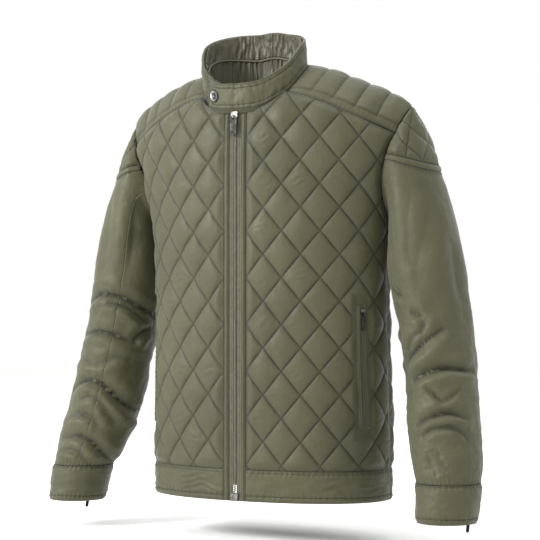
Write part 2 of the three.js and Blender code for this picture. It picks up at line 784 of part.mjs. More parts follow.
// The collar's cloth by the turn from the front and the share of its height
function collarSurface(turn, rise) {
  const wrapped = THREE.MathUtils.euclideanModulo(turn + 180, 360) - 180;
  const base = neckPoint(Math.abs(wrapped));
  const open = openness(turn);
  const lean = (openSide.lean * open - collarLean) * rise;
  const angle = THREE.MathUtils.degToRad(wrapped);
  const x = base.x * Math.sign(wrapped || 1) + lean * Math.sin(angle);
  const z = base.z + collarFoot + rise * (collarHeight + openSide.rise * open);
  return vec(x, base.y - lean * Math.cos(angle), z);
}

function collarPoint(turn, rise, lift) {
  const angle = THREE.MathUtils.degToRad(turn);
  return collarSurface(turn, rise).add(vec(Math.sin(angle) * lift, -Math.cos(angle) * lift, 0));
}

function collarStrip(turns, rises, outer, inner) {
  const layer = (height) => rises.map((rise) => turns.map((turn) => collarPoint(turn, rise,
    height(turn, rise))));
  return gridSolid(layer(outer), layer(inner));
}

const lap = (turn) => tabLift * THREE.MathUtils.smoothstep(50 - turn, 0, 70);
const collarOut = (turn, rise) => lap(turn) + (rise > 0 && rise < 1 ? 0.8 : 0);
const collarTurns = [...steps(tabEnd, 50, 11), ...steps(63, 308, 18), ...steps(318, collarEnd, 4)];
add('collar', collarStrip(collarTurns, [0, 0.12, 0.88, 1], collarOut, (turn) => lap(turn) - collarWall),
  cloth);

const liningWall = 1.4;
const liningDepth = -collarWall - 0.9;
const liningRises = [0.06, 0.5, 0.97];

// The share of the collar's height at which its lining ends
function liningFoot(turn) {
  return openSide.lining * openness(turn);
}

function collarLining() {
  const layer = (depth) => liningRises.map((share) => steps(14, 346, 26).map((turn) => {
    const rise = share + (1 - share) * liningFoot(turn);
    return collarPoint(turn, rise, depth);
  }));
  return gridSolid(layer(liningDepth), layer(liningDepth - liningWall));
}
add('collar_lining', collarLining(), lining);

// The piping at the foot of the collar's lining
const pipingDepth = -collarWall - 4.4;
const pipingRadius = 1.6;

class PipingLine extends THREE.Curve {
  getPoint(t) {
    const turn = 40 + 280 * t;
    return collarPoint(turn, liningFoot(turn), pipingDepth);
  }
}

function roundSection(radius, sides) {
  const shape = new THREE.Shape();
  for (let i = 0; i < sides; i += 1) {
    const turn = (2 * Math.PI * i) / sides;
    const point = [radius * Math.cos(turn), radius * Math.sin(turn)];
    if (i === 0) {
      shape.moveTo(...point);
    } else {
      shape.lineTo(...point);
    }
  }
  shape.closePath();
  return shape;
}

function plain(geometry) {
  geometry.deleteAttribute('normal');
  geometry.deleteAttribute('uv');
  return mergeVertices(geometry, 1e-3);
}
add('neck_piping', plain(new THREE.ExtrudeGeometry(roundSection(pipingRadius, 5),
  { steps: 24, extrudePath: new PipingLine(), bevelEnabled: false })), lining);

// The gathered lining that hangs from the piping inside the neck
const hangDrops = [pipingRadius + 1.1, 16, 44];
const gatherDepth = 0.8;

function neckLining() {
  const layer = (depth) => hangDrops.map((drop) => steps(62, 298, 36).map((turn, j) => {
    const gather = j % 2 ? gatherDepth : 0;
    return collarPoint(turn, liningFoot(turn), depth - gather - 0.04 * drop).sub(vec(0, 0, drop));
  }));
  return gridSolid(layer(-5.4), layer(-6.8));
}
add('back_lining', neckLining(), lining);

// A frame on a surface: the point, the directions across and up, and the outward normal
function frameAt(point, up, normal) {
  const across = up.clone().cross(normal).normalize();
  const out = across.clone().cross(up).normalize();
  return new THREE.Matrix4().makeBasis(across, up.clone().normalize(), out).setPosition(point);
}

function bodyFrame(u, z, lift) {
  const up = frontSurface(u, z + 3).sub(frontSurface(u, z - 3)).normalize();
  const normal = normalOf(frontSurface, u, z, 1);
  return frameAt(frontSurface(u, z).addScaledVector(normal, lift), up, normal);
}

// The snap's cap: a shallow dome with a sunk middle, on the collar's tab
const snapTurn = -31.5;
const snapRadius = 9.4;

function snap() {
  const profile = [flat(0, 0), flat(snapRadius, 0), flat(snapRadius, 1.2), flat(snapRadius - 1.4, 2.2),
    flat(snapRadius - 3, 1.6), flat(0, 1.4)];
  const geometry = new THREE.LatheGeometry(profile, 24);
  geometry.rotateX(Math.PI / 2);
  const normal = normalOf(collarSurface, snapTurn, 0.5);
  const foot = collarPoint(snapTurn, 0.5, collarOut(snapTurn, 0.5) + 0.6);
  geometry.applyMatrix4(frameAt(foot, vec(0, 0, 1), normal));
  return plain(geometry);
}
add('snap_cap', snap(), darkMetal);

// A zip slider with its arched bridge, and the pull tab whose eye hangs in it
const bridge = { reach: 2.5, bore: 1.3, top: 4.1, boreTop: 3.1, width: 1.8 };
const eye = { bar: 0.7, hole: 3.9, halfWidth: 1.6 };
const tabThick = 1.4;
const barHeight = 1.9;

function slider({ width, length, thick }) {
  const plate = plain(new THREE.BoxGeometry(width, length, thick).translate(0, 0, -thick / 2));
  const arch = new THREE.Shape([flat(-bridge.reach, -0.5), flat(bridge.reach, -0.5),
    flat(bridge.reach, bridge.top - 0.8), flat(bridge.reach - 0.8, bridge.top),
    flat(0.8 - bridge.reach, bridge.top), flat(-bridge.reach, bridge.top - 0.8)]);
  arch.holes.push(new THREE.Path([flat(-bridge.bore, 0.001), flat(-bridge.bore, bridge.boreTop),
    flat(bridge.bore, bridge.boreTop), flat(bridge.bore, 0.001)]));
  const loop = new THREE.ExtrudeGeometry(arch, { depth: bridge.width, bevelEnabled: false });
  loop.translate(0, 0, -bridge.width / 2);
  loop.applyMatrix4(new THREE.Matrix4().makeBasis(vec(0, 1, 0), vec(0, 0, 1), vec(1, 0, 0)));
  const joined = toManifold(plate).add(toManifold(plain(loop))).getMesh();
  const geometry = new THREE.BufferGeometry();
  geometry.setAttribute('position', new THREE.BufferAttribute(joined.vertProperties, 3));
  geometry.setIndex(Array.from(joined.triVerts));
  return geometry;
}

function pullTab({ tabWidth, tabLength }) {
  const w = tabWidth / 2;
  const length = tabLength;
  const shape = new THREE.Shape([flat(-w + 0.6, eye.bar), flat(-w, -0.2), flat(-w, -length + 1.5),
    flat(-w + 1.5, -length), flat(w - 1.5, -length), flat(w, -length + 1.5), flat(w, -0.2),
    flat(w - 0.6, eye.bar)]);
  shape.holes.push(new THREE.Path([flat(-eye.halfWidth, -eye.bar), flat(eye.halfWidth, -eye.bar),
    flat(eye.halfWidth, -eye.hole), flat(-eye.halfWidth, -eye.hole)]));
  const tab = new THREE.ExtrudeGeometry(shape, { depth: tabThick, bevelEnabled: false });
  tab.translate(0, 0, barHeight - tabThick / 2);
  return plain(tab);
}

function placed(geometry, frame) {
  return geometry.clone().applyMatrix4(frame);
}

// The front zip
const coilHalf = 3;
const tapeEdge = 10.2;
const zipTop = neckPoint(0).z - 1.5;
const boxTop = hemBottom + 13;
const zipRows = steps(hemBottom, zipTop, 10);
addPair('zip_welt', wallOn(frontSurface, 1, () => [tapeEdge + seamGap, 14.5, frontEdge - seamGap], zipRows,
  (u) => (u > 14 && u < 15 ? 1.8 : 0.9), () => -wall), cloth);
addPair('zip_tape', wallOn(frontSurface, 1, () => [coilHalf + seamGap, tapeEdge], zipRows,
  () => -0.6, () => -1.6), cloth);
add('zip_coil', wallOn(frontSurface, 1, () => [-coilHalf, 0, coilHalf], steps(boxTop + 0.3, zipTop, 10),
  (u) => (u === 0 ? 1.1 : 0.3), () => -1.6), darkMetal);
add('zip_box', placed(plain(new THREE.BoxGeometry(12, boxTop - hemBottom, 2.6)),
  bodyFrame(0, (hemBottom + boxTop) / 2, 1)), brightMetal);
const zipSliderZ = -87;
const zipSliderLift = 3.9;
const zipFrame = bodyFrame(0, zipSliderZ, zipSliderLift);
add('zip_slider', placed(slider(zipParts.front), zipFrame), brightMetal);
add('zip_pull', placed(pullTab(zipParts.front), zipFrame), darkMetal);

// Side pockets: welts on each side of a coil, laid on the flattened cloth
const pocketLine = (z) => section(z).side - pocketInset;
const pocketRows = steps(pocketBottom, pocketTop, 6);
const coilHigh = 1.6;
const weltStart = 1.6;
const weltHigh = 2.2;

function pocketStrip(from, to, low, high) {
  return wallOn(frontSurface, 1, (z) => [pocketLine(z) + from, pocketLine(z) + to], pocketRows,
    () => high, () => low);
}
addPair('pocket_welt_front', pocketStrip(-weltStart - weltWidth, -weltStart, seamGap, weltHigh), cloth);
addPair('pocket_welt_side', pocketStrip(weltStart, weltStart + weltWidth, seamGap, weltHigh), cloth);
addPair('pocket_coil', pocketStrip(-1.3, 1.3, seamGap, coilHigh), darkMetal);
const pocketSliderZ = pocketTop - 16;
const pocketSliderLift = 4.6;
const pocketFrame = bodyFrame(pocketLine(pocketSliderZ), pocketSliderZ, pocketSliderLift);
addPair('pocket_slider', placed(slider(zipParts.pocket), pocketFrame), darkMetal);
addPair('pocket_pull', placed(pullTab(zipParts.pocket), pocketFrame), darkMetal);

// The cuff zips, at the back of each cuff, closed at the hand
const cuffZipTurn = THREE.MathUtils.degToRad(-75);
const cuffZipDrop = 0.99;
const cuffCoilLift = 2.45;
const cuffSliderLift = 5.2;

function cuffFrame(drop, lift) {
  const up = sleeveBase(cuffZipTurn, drop - 0.01).sub(sleeveBase(cuffZipTurn, drop + 0.01)).normalize();
  const normal = normalOf(sleevePlain, cuffZipTurn * turnScale, -drop * dropScale, -1);
  return frameAt(sleeveBase(cuffZipTurn, drop).addScaledVector(normal, lift), up, normal);
}
const cuffCoilLength = 46;
const cuffCoil = plain(new THREE.BoxGeometry(4, cuffCoilLength, 1.2));
const cuffSliderFrame = cuffFrame(cuffZipDrop, cuffSliderLift);
addPair('cuff_coil', placed(cuffCoil, cuffFrame((sleeveEnd + 1) / 2, cuffCoilLift)), darkMetal);
addPair('cuff_slider', placed(slider(zipParts.cuff), cuffSliderFrame), darkMetal);
addPair('cuff_pull', placed(pullTab(zipParts.cuff), cuffSliderFrame), darkMetal);

export default jacket;
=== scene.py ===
"""A quilted stand-collar jacket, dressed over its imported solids, with its light and camera."""

import math

import bmesh
import bpy
import numpy as np
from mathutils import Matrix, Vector


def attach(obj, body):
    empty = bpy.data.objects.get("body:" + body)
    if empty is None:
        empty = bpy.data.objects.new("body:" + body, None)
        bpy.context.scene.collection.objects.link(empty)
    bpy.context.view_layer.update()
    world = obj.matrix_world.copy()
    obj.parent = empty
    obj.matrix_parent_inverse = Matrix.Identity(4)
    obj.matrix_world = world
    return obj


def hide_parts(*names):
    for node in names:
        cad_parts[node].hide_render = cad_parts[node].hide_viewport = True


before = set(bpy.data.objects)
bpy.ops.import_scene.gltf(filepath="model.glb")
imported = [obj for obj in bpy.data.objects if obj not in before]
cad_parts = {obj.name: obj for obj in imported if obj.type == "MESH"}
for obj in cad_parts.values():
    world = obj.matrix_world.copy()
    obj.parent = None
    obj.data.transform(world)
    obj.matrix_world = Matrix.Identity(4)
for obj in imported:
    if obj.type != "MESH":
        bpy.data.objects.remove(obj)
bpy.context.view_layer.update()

# Sizes are in millimetres up to the moment a mesh is made
MM = 0.001
QUILT_WIDTH = 59.0
QUILT_HEIGHT = 71.0
QUILT_PUFF = 6.0
QUILT_TOP_ROW = -120.0
FRONT_EDGE = 19.0
HEM_BOTTOM = -673.0
HEM_TOP = -625.0
WALL = 2.2
COLLAR_HEIGHT = 41.0
COLLAR_WALL = 3.0
SEAM_GAP = 0.3
SIDES = (("left", 1), ("right", -1))
NORMAL_STEP = 2.0

# The body's level sections: half width, the depth where it is widest, front and back
BODY_COLUMNS = ("z", "half", "mid", "front", "fore", "back", "aft")
BODY = (
    (-700, 199, 12, -105, 2.2, 127, 2.2),
    (-560, 199, 12, -105, 2.2, 126, 2.2),
    (-430, 196, 10, -105, 2.2, 120, 2.2),
    (-300, 198, 9, -105, 2.15, 113, 2.2),
    (-235, 206, 10, -105, 2.1, 112, 2.1),
    (-160, 230, 12, -105, 2.0, 112, 2.0),
    (-115, 248, 13, -104, 1.85, 107, 1.9),
    (-72, 243, 13, -103, 1.6, 92, 1.7),
    (-42, 186, -3, -101, 1.35, 76, 1.55),
    (-16, 120, -18, -98, 1.4, 56, 1.6),
    (4, 90, -27, -94, 1.6, 40, 1.8),
    (24, 78, -32, -90, 1.8, 24, 2.0),
)

# The neck seam by the angle round from the front: its reach from the neck's middle and height
NECK_MIDDLE = -40.0
NECK_COLUMNS = ("turn", "reach", "z")
NECK = (
    (0, 63, -78),
    (35, 70, -73),
    (65, 80, -50),
    (90, 84, -17),
    (130, 76, 6),
    (180, 66, 17),
)

# The sleeve's rings by their outermost and innermost points and their half depth
SLEEVE_COLUMNS = ("outX", "outZ", "inX", "inZ", "y", "along")
SLEEVE = (
    (259, -106, 210, -248, 16, 60),
    (281, -165, 209, -260, 15, 64),
    (301, -225, 208, -288, 14, 65),
    (320, -300, 209, -325, 14, 64),
    (334, -385, 222, -388, 12, 61),
    (346, -455, 234, -455, 4, 59),
    (357, -530, 248, -530, -12, 57),
    (366, -580, 260, -580, -24, 55),
    (371, -635, 278, -635, -40, 50),
    (370, -691, 286, -691, -54, 46),
)

# The armhole, as an ellipse seen from the side that follows the body's surface
ARMHOLE_MIDDLE, ARMHOLE_HALF = 26.0, 56.0
ARMHOLE_Z, ARMHOLE_RISE = -156.0, 86.0


def columns(names, rows):
    return {name: np.array([row[i] for row in rows], float) for i, name in enumerate(names)}


def between(keys, values, at):
    """A smooth value between the rows of a table, as arrays."""
    at = np.clip(np.asarray(at, float), keys[0], keys[-1])
    last = len(keys) - 1
    low = np.maximum(np.arange(last + 1) - 1, 0)
    high = np.minimum(np.arange(last + 1) + 1, last)
    slopes = (values[high] - values[low]) / (keys[high] - keys[low])
    i = np.clip(np.searchsorted(keys, at, side="left") - 1, 0, last - 1)
    span = keys[i + 1] - keys[i]
    t = (at - keys[i]) / span
    t2, t3 = t * t, t * t * t
    return (
        (2 * t3 - 3 * t2 + 1) * values[i]
        + (t3 - 2 * t2 + t) * span * slopes[i]
        + (3 * t2 - 2 * t3) * values[i + 1]
        + (t3 - t2) * span * slopes[i + 1]
    )


def smooth(x, low, high):
    t = np.clip((x - low) / (high - low), 0, 1)
    return t * t * (3 - 2 * t)


def bell(off, width):
    """1 where off is 0, and soon 0 on both sides past a width."""
    return np.exp(-((off / width) ** 2))


def dying(off, length):
    """1 where off is 0, dying away over a length."""
    return np.exp(-off / length)


def ripple(turns):
    """A sine wave by its count of whole turns."""
    return np.sin(2 * np.pi * turns)


def unit(ways):
    return ways / np.linalg.norm(ways, axis=-1, keepdims=True)


def wrap(degrees):
    """Angles in degrees from -180 to 180."""
    return (np.asarray(degrees, float) + 180) % 360 - 180


def plane(u, v):
    return np.stack([u, v], axis=-1)


def mirror_points(points):
    return np.asarray(points) * np.array([-1, 1, 1])


# The body's sections, worked out once for each millimetre of height
SECTION_STEPS = 96
SECTION_Z = np.arange(-700.0, 25.0, 1.0)


def body_sections():
    table = columns(BODY_COLUMNS, BODY)
    row = {k: between(table["z"], table[k], SECTION_Z)[:, None] for k in BODY_COLUMNS[1:]}
    turn = np.pi * np.arange(2 * SECTION_STEPS + 1) / (2 * SECTION_STEPS)
    is_front = np.arange(2 * SECTION_STEPS + 1) <= SECTION_STEPS
    power = np.where(is_front, 2 / row["fore"], 2 / row["aft"])
    depth = np.where(is_front, row["front"] - row["mid"], row["back"] - row["mid"])
    x = row["half"] * np.maximum(np.sin(turn), 0) ** power
    y = row["mid"] + depth * np.abs(np.cos(turn)) ** power
    step = np.hypot(np.diff(x, axis=1), np.diff(y, axis=1))
    arc = np.concatenate([np.zeros((len(SECTION_Z), 1)), np.cumsum(step, axis=1)], axis=1)
    return x, y, arc


SECTION_X, SECTION_Y, SECTION_ARC = body_sections()


def at_height(values, z):
    i = np.clip(np.asarray(z, float) - SECTION_Z[0], 0, len(SECTION_Z) - 1.001)
    low = i.astype(int)
    t = i - low
    return values[low] * (1 - t) + values[low + 1] * t


def side_arc(z):
    return at_height(SECTION_ARC[:, SECTION_STEPS], z)


def whole_arc(z):
    return at_height(SECTION_ARC[:, -1], z)


def body_point(arc, z):
    """Points of the body at heights and arc lengths from the centre front, towards +X."""
    arc, z = np.broadcast_arrays(np.asarray(arc, float), np.asarray(z, float))
    flat_arc, flat_z = arc.ravel(), z.ravel()
    at = np.clip(flat_z - SECTION_Z[0], 0, len(SECTION_Z) - 1.001)
    low = at.astype(int)
    t = at - low
    found = []
    for row in (low, low + 1):
        arcs = SECTION_ARC[row]
        reach = np.minimum(np.abs(flat_arc), arcs[:, -1])
        j = np.clip((arcs < reach[:, None]).sum(axis=1) - 1, 0, arcs.shape[1] - 2)
        k = np.arange(len(j))
        s = (reach - arcs[k, j]) / (arcs[k, j + 1] - arcs[k, j])
        xs, ys = SECTION_X[row], SECTION_Y[row]
        x = xs[k, j] + (xs[k, j + 1] - xs[k, j]) * s
        y = ys[k, j] + (ys[k, j + 1] - ys[k, j]) * s
        found.append((x, y))
    x = found[0][0] * (1 - t) + found[1][0] * t
    y = found[0][1] * (1 - t) + found[1][1] * t
    x = x * np.where(flat_arc < 0, -1, 1)
    return np.stack([x, y, flat_z], axis=-1).reshape(arc.shape + (3,))


def arc_at_x(x, z, is_back):
    """The arc length from the centre front at which the body's section has a given x."""
    xs = at_height(SECTION_X, z)
    arcs = at_height(SECTION_ARC, z)
    part = slice(SECTION_STEPS, None) if is_back else slice(0, SECTION_STEPS + 1)
    xs, arcs = xs[part], arcs[part]
    order = np.argsort(xs)
    return float(np.interp(x, xs[order], arcs[order]))


def normals(surface, u, v, side=1):
    du = surface(u + NORMAL_STEP, v) - surface(u - NORMAL_STEP, v)
    dv = surface(u, v + NORMAL_STEP) - surface(u, v - NORMAL_STEP)
    n = np.cross(du, dv) * side
    return n / np.maximum(np.linalg.norm(n, axis=-1, keepdims=True), 1e-9)


def front_surface(u, z):
    return body_point(u, z)


def back_surface(u, z):
    u = np.asarray(u, float)
    arc = whole_arc(z) - np.abs(u)
    return body_point(np.where(u < 0, -arc, arc), z)


def armhole_point(turn):
    """The armhole seam by its angle from the top towards the front: the point and its arc."""
    z = ARMHOLE_Z + ARMHOLE_RISE * math.cos(turn)
    y = ARMHOLE_MIDDLE - ARMHOLE_HALF * math.sin(turn)
    ys, xs, arcs = (at_height(v, z) for v in (SECTION_Y, SECTION_X, SECTION_ARC))
    arc = float(np.interp(y, ys, arcs))
    return np.array([float(np.interp(y, ys, xs)), y, z]), arc


def neck_point(turn):
    """The neck seam at angles in degrees from the front, positive towards the wearer's left."""
    table = columns(NECK_COLUMNS, NECK)
    wrapped = wrap(turn)
    from_back = 180 - np.abs(wrapped)
    eased = 180 - from_back * smooth(from_back, 0, 24)
    reach = between(table["turn"], table["reach"], eased)
    z = between(table["turn"], table["z"], eased)
    angle = np.radians(wrapped)
    x = reach * np.sin(angle)
    y = NECK_MIDDLE - reach * np.cos(angle)
    return np.stack([x, y, z], axis=-1)


# Materials, each from its own nodes
class Nodes:
    """A short way to add and join a material's nodes."""

    def __init__(self, name):
        self.material = bpy.data.materials.new(name)
        self.material.use_nodes = True
        self.tree = self.material.node_tree
        self.shader = self.tree.nodes["Principled BSDF"]
        self.place = self.add("ShaderNodeTexCoord").outputs["Object"]

    def add(self, kind, **settings):
        node = self.tree.nodes.new(kind)
        for name, value in settings.items():
            setattr(node, name, value)
        return node

    def join(self, start, end):
        self.tree.links.new(start, end)

    def noise(self, scale, detail=3.0, rough=0.5, stretch=(1, 1, 1)):
        node = self.add("ShaderNodeTexNoise")
        node.inputs["Scale"].default_value = scale
        node.inputs["Detail"].default_value = detail
        node.inputs["Roughness"].default_value = rough
        mapping = self.add("ShaderNodeMapping")
        mapping.inputs["Scale"].default_value = stretch
        self.join(self.place, mapping.inputs["Vector"])
        self.join(mapping.outputs["Vector"], node.inputs["Vector"])
        return node.outputs["Fac"]

    def ridges(self, scale, direction, distortion):
        node = self.add("ShaderNodeTexWave", bands_direction=direction)
        node.inputs["Scale"].default_value = scale
        node.inputs["Distortion"].default_value = distortion
        self.join(self.place, node.inputs["Vector"])
        return node.outputs["Fac"]

    def range(self, value, low, high):
        """A value's usual span, 0.3 to 0.7, spread from low to high."""
        node = self.add("ShaderNodeMapRange")
        numbers = {"From Min": 0.3, "From Max": 0.7, "To Min": low, "To Max": high}
        for name, number in numbers.items():
            node.inputs[name].default_value = number
        self.join(value, node.inputs["Value"])
        return node.outputs["Result"]

    def ramp(self, value, stops):
        node = self.add("ShaderNodeValToRGB")
        ramp = node.color_ramp
        for at, colour in stops[2:]:
            ramp.elements.new(at)
        for element, (at, colour) in zip(ramp.elements, sorted(stops)):
            element.position = at
            element.color = (*colour, 1)
        self.join(value, node.inputs["Fac"])
        return node.outputs["Color"]

    def multiply(self, a, b):
        node = self.add("ShaderNodeMix", data_type="RGBA", blend_type="MULTIPLY")
        node.inputs["Factor"].default_value = 1
        self.join(a, node.inputs[6])
        self.join(b, node.inputs[7])
        return node.outputs[2]

    def crease(self, colour, depth):
        """The colour with painted shade: darker down in seams and creases, as the mesh's own
        attribute says.
        """
        stored = self.add("ShaderNodeAttribute", attribute_name="crease").outputs["Fac"]
        painted_shade = self.ramp(stored, [(0.0, (1, 1, 1)), (1.0, (depth, depth, depth))])
        return self.multiply(colour, painted_shade)

    def bump(self, height, strength, distance, below=None):
        node = self.add("ShaderNodeBump")
        node.inputs["Strength"].default_value = strength
        node.inputs["Distance"].default_value = distance
        self.join(height, node.inputs["Height"])
        if below is not None:
            self.join(below, node.inputs["Normal"])
        return node.outputs["Normal"]

    def finish(self, colour, roughness, normal, **sockets):
        self.join(colour, self.shader.inputs["Base Color"])
        self.join(roughness, self.shader.inputs["Roughness"])
        self.join(normal, self.shader.inputs["Normal"])
        for name, value in sockets.items():
            self.shader.inputs[name.replace("_", " ")].default_value = value
        return self.material


def shade(colour, amount):
    return tuple(min(c * amount, 1.0) for c in colour)


def cloth_material(name, colour, rough, weave=2200, crease=1.0, sheen=0.15):
    """Fine woven cloth: patches of tone, small creases, crossed threads and painted shade in seams
    and creases.
    """
    n = Nodes(name)
    patches = n.noise(7, 4, 0.6)
    tone = n.ramp(patches, [(0.3, shade(colour, 0.84)), (0.7, shade(colour, 1.12)), (0.5, colour)])
    specks = n.ramp(n.noise(420, 2), [(0.35, (0.9, 0.9, 0.9)), (0.65, (1, 1, 1))])
    pitch = weave / 6.3
    creases = n.bump(n.noise(75, 5, 0.62, (1, 1, 0.55)), 0.46 * crease, 0.0022)
    crumple = n.bump(n.noise(26, 3, 0.5), 0.4 * crease, 0.004, creases)
    warp = n.bump(n.ridges(pitch, "DIAGONAL", 0.6), 0.12, 0.0002, crumple)
    normal = n.bump(n.ridges(pitch, "Z", 0.6), 0.12, 0.0002, warp)
    gloss = n.range(n.noise(40, 3), rough - 0.07, rough + 0.09)
    # Painted shade: the tone darkens to a fifth where the crease attribute says
    colour = n.crease(n.multiply(tone, specks), 0.2)
    return n.finish(colour, gloss, normal, Sheen_Weight=sheen, Sheen_Roughness=0.45,
                    Specular_IOR_Level=0.3)


def thread_material(name, colour):
    n = Nodes(name)
    tone = n.ramp(n.noise(300, 2), [(0.3, shade(colour, 0.8)), (0.7, shade(colour, 1.2))])
    normal = n.bump(n.ridges(1500, "DIAGONAL", 1.0), 0.3, 0.0002)
    return n.finish(tone, n.range(n.noise(90), 0.5, 0.7), normal, Specular_IOR_Level=0.4)


def tape_material(name, colour):
    """Woven tape, with cross ribs and a soft nap."""
    n = Nodes(name)
    tone = n.ramp(n.noise(160, 3), [(0.3, shade(colour, 0.8)), (0.7, shade(colour, 1.15))])
    ribs = n.bump(n.ridges(180, "Z", 0.2), 0.5, 0.0004)
    normal = n.bump(n.noise(900, 2), 0.2, 0.0002, ribs)
    return n.finish(tone, n.range(n.noise(60), 0.65, 0.85), normal, Specular_IOR_Level=0.35)


def plastic_material(name, colour):
    n = Nodes(name)
    tone = n.ramp(n.noise(120, 3), [(0.3, shade(colour, 0.8)), (0.7, shade(colour, 1.2))])
    normal = n.bump(n.noise(600, 3), 0.12, 0.0003)
    return n.finish(tone, n.range(n.noise(50), 0.34, 0.55), normal, Specular_IOR_Level=0.5)


def metal_material(name, colour, rough, worn):
    """Plated metal with fine scratches, and brighter, smoother worn patches."""
    n = Nodes(name)
    wear = n.noise(130, 5, 0.65)
    tone = n.ramp(wear, [(0.42, colour), (0.66, worn)])
    scratches = n.noise(500, 3, 0.6, (1, 1, 0.12))
    normal = n.bump(scratches, 0.18, 0.0003)
    gloss = n.range(n.noise(210, 4, 0.6), rough - 0.08, rough + 0.12)
    return n.finish(tone, gloss, normal, Metallic=1.0)


OLIVE = (0.055, 0.0545, 0.025)
QUILTED = cloth_material("quilted_cloth", OLIVE, 0.57)
PLAIN = cloth_material("plain_cloth", shade(OLIVE, 1.02), 0.58, crease=1.3)
LINING = cloth_material("lining_cloth", (0.056, 0.053, 0.029), 0.45, 1800, 0.8, 0.14)
PIPING = cloth_material("piping_cloth", (0.088, 0.085, 0.052), 0.5, 1400, 0.5, 0.16)
THREAD = thread_material("thread", (0.038, 0.037, 0.02))
TAPE = tape_material("zip_tape", (0.082, 0.08, 0.052))
COIL = plastic_material("zip_coil", (0.095, 0.092, 0.066))
SLIDER_METAL = metal_material("slider_metal", (0.05, 0.049, 0.045), 0.4, (0.24, 0.235, 0.22))
PULL_METAL = metal_material("pull_metal", (0.02, 0.02, 0.019), 0.46, (0.07, 0.068, 0.064))
SNAP_DARK = metal_material("snap_dark", (0.035, 0.034, 0.036), 0.34, (0.12, 0.12, 0.12))
SNAP_BRIGHT = metal_material("snap_bright", (0.2, 0.19, 0.185), 0.3, (0.45, 0.44, 0.42))

# A slot name for each material's pieces
SLOT_MATERIALS = (
    ("quilted_cloth", (QUILTED,)),
    ("plain_cloth", (PLAIN, THREAD)),
    ("lining", (LINING, PIPING)),
    ("zip_tape", (TAPE,)),
    ("zip_coil", (COIL,)),
    ("snap_metal", (SNAP_DARK,)),
)
SLOTS = {material.name: slot for slot, group in SLOT_MATERIALS for material in group}


def new_object(name, data):
    piece = bpy.data.objects.new(name, data)
    bpy.context.scene.collection.objects.link(piece)
    return piece


def mesh_piece(name, points, faces, material, crease=None, is_smooth=True):
    """A new object of the jacket from points in millimetres and faces."""
    mesh = bpy.data.meshes.new(name)
    mesh.from_pydata((np.asarray(points) * MM).tolist(), [], [list(map(int, f)) for f in faces])
    # The crease attribute holds painted shade, 0 to 1, for the cloth materials to darken by
    shade_by = np.zeros(len(points))
    if crease is not None:
        flat = np.asarray(crease, float).ravel()
        shade_by[: len(flat)] = np.clip(flat, 0, 1)
    mesh.attributes.new("crease", "FLOAT", "POINT").data.foreach_set("value", shade_by)
    mesh.validate()
    bm = bmesh.new()
    bm.from_mesh(mesh)
    bmesh.ops.recalc_face_normals(bm, faces=bm.faces)
    bm.to_mesh(mesh)
    bm.free()
    mesh.polygons.foreach_set("use_smooth", [is_smooth] * len(mesh.polygons))
    mesh.materials.append(material)
    piece = new_object(name, mesh)
    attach(piece, "jacket")
    return piece


def dress(node, name, shape, material, crease=None, sign=1, is_smooth=True, **cut):
    """A piece in the place of a node; what it says as a sheet of cloth is not used."""
    points, faces = shape
    points = points if sign > 0 else mirror_points(points)
    piece = mesh_piece(name, points, faces, material, crease, is_smooth)
    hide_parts(node)
    return piece


def joined(shapes):
    """One shape from several, each of points and faces."""
    points, faces, count = [], [], 0
    for more, more_faces in shapes:
        points.append(more)
        faces += [[k + count for k in f] for f in more_faces]
        count += len(more)
    return np.concatenate(points), faces


def grid_faces(rows, cols, start=0, is_ring=False):
    spans = cols if is_ring else cols - 1
    i, j = np.meshgrid(np.arange(rows - 1), np.arange(spans), indexing="ij")
    i, j = i.ravel(), j.ravel()
    k = (j + 1) % cols
    quads = (i * cols + j, i * cols + k, (i + 1) * cols + k, (i + 1) * cols + j)
    return (np.stack(quads, axis=1) + start).tolist()


def coarse(count, step, is_ring=False):
    """Every few of a row's places, with its last one."""
    picked = list(range(0, count if is_ring else count - 1, step))
    return picked if is_ring else picked + [count - 1]


def wall_mesh(outer, inner, is_ring=False, step=4):
    """Points and faces of a closed wall: a fine outer grid, a coarser inner one, and their rim."""
    rows, cols = outer.shape[:2]
    count = rows * cols
    i_pick, j_pick = coarse(rows, step), coarse(cols, step, is_ring)
    under = inner[np.ix_(i_pick, j_pick)]
    points = np.concatenate([outer.reshape(-1, 3), under.reshape(-1, 3)])
    faces = grid_faces(rows, cols, 0, is_ring)
    faces += [f[::-1] for f in grid_faces(len(i_pick), len(j_pick), count, is_ring)]
    spans = list(zip(range(len(j_pick)), j_pick, j_pick[1:] + ([cols] if is_ring else [])))
    for row, fine_row in ((0, 0), (len(i_pick) - 1, rows - 1)):
        for k, start, end in spans:
            run = [fine_row * cols + j % cols for j in range(start, end + 1)]
            base = count + row * len(j_pick)
            faces.append([base + k] + run + [base + (k + 1) % len(j_pick)])
    if not is_ring:
        for col, fine_col in ((0, 0), (len(j_pick) - 1, cols - 1)):
            for k, (start, end) in enumerate(zip(i_pick, i_pick[1:])):
                run = [i * cols + fine_col for i in range(start, end + 1)]
                base = count + k * len(j_pick) + col
                faces.append([base] + run + [base + len(j_pick)])
    return points, faces


def wall_between(at, out, outer, inner, is_ring=False):
    """A wall from points, the way out of them and its two heights."""
    high, low = np.asarray(outer)[..., None], np.asarray(inner)[..., None]
    return wall_mesh(at + out * high, at + out * low, is_ring)


def wall_on(surface, side, us, vs, outer, inner):
    return wall_between(surface(us, vs), normals(surface, us, vs, side), outer, inner)


WAVE_OCTAVES, WAVES_EACH = 3, 4


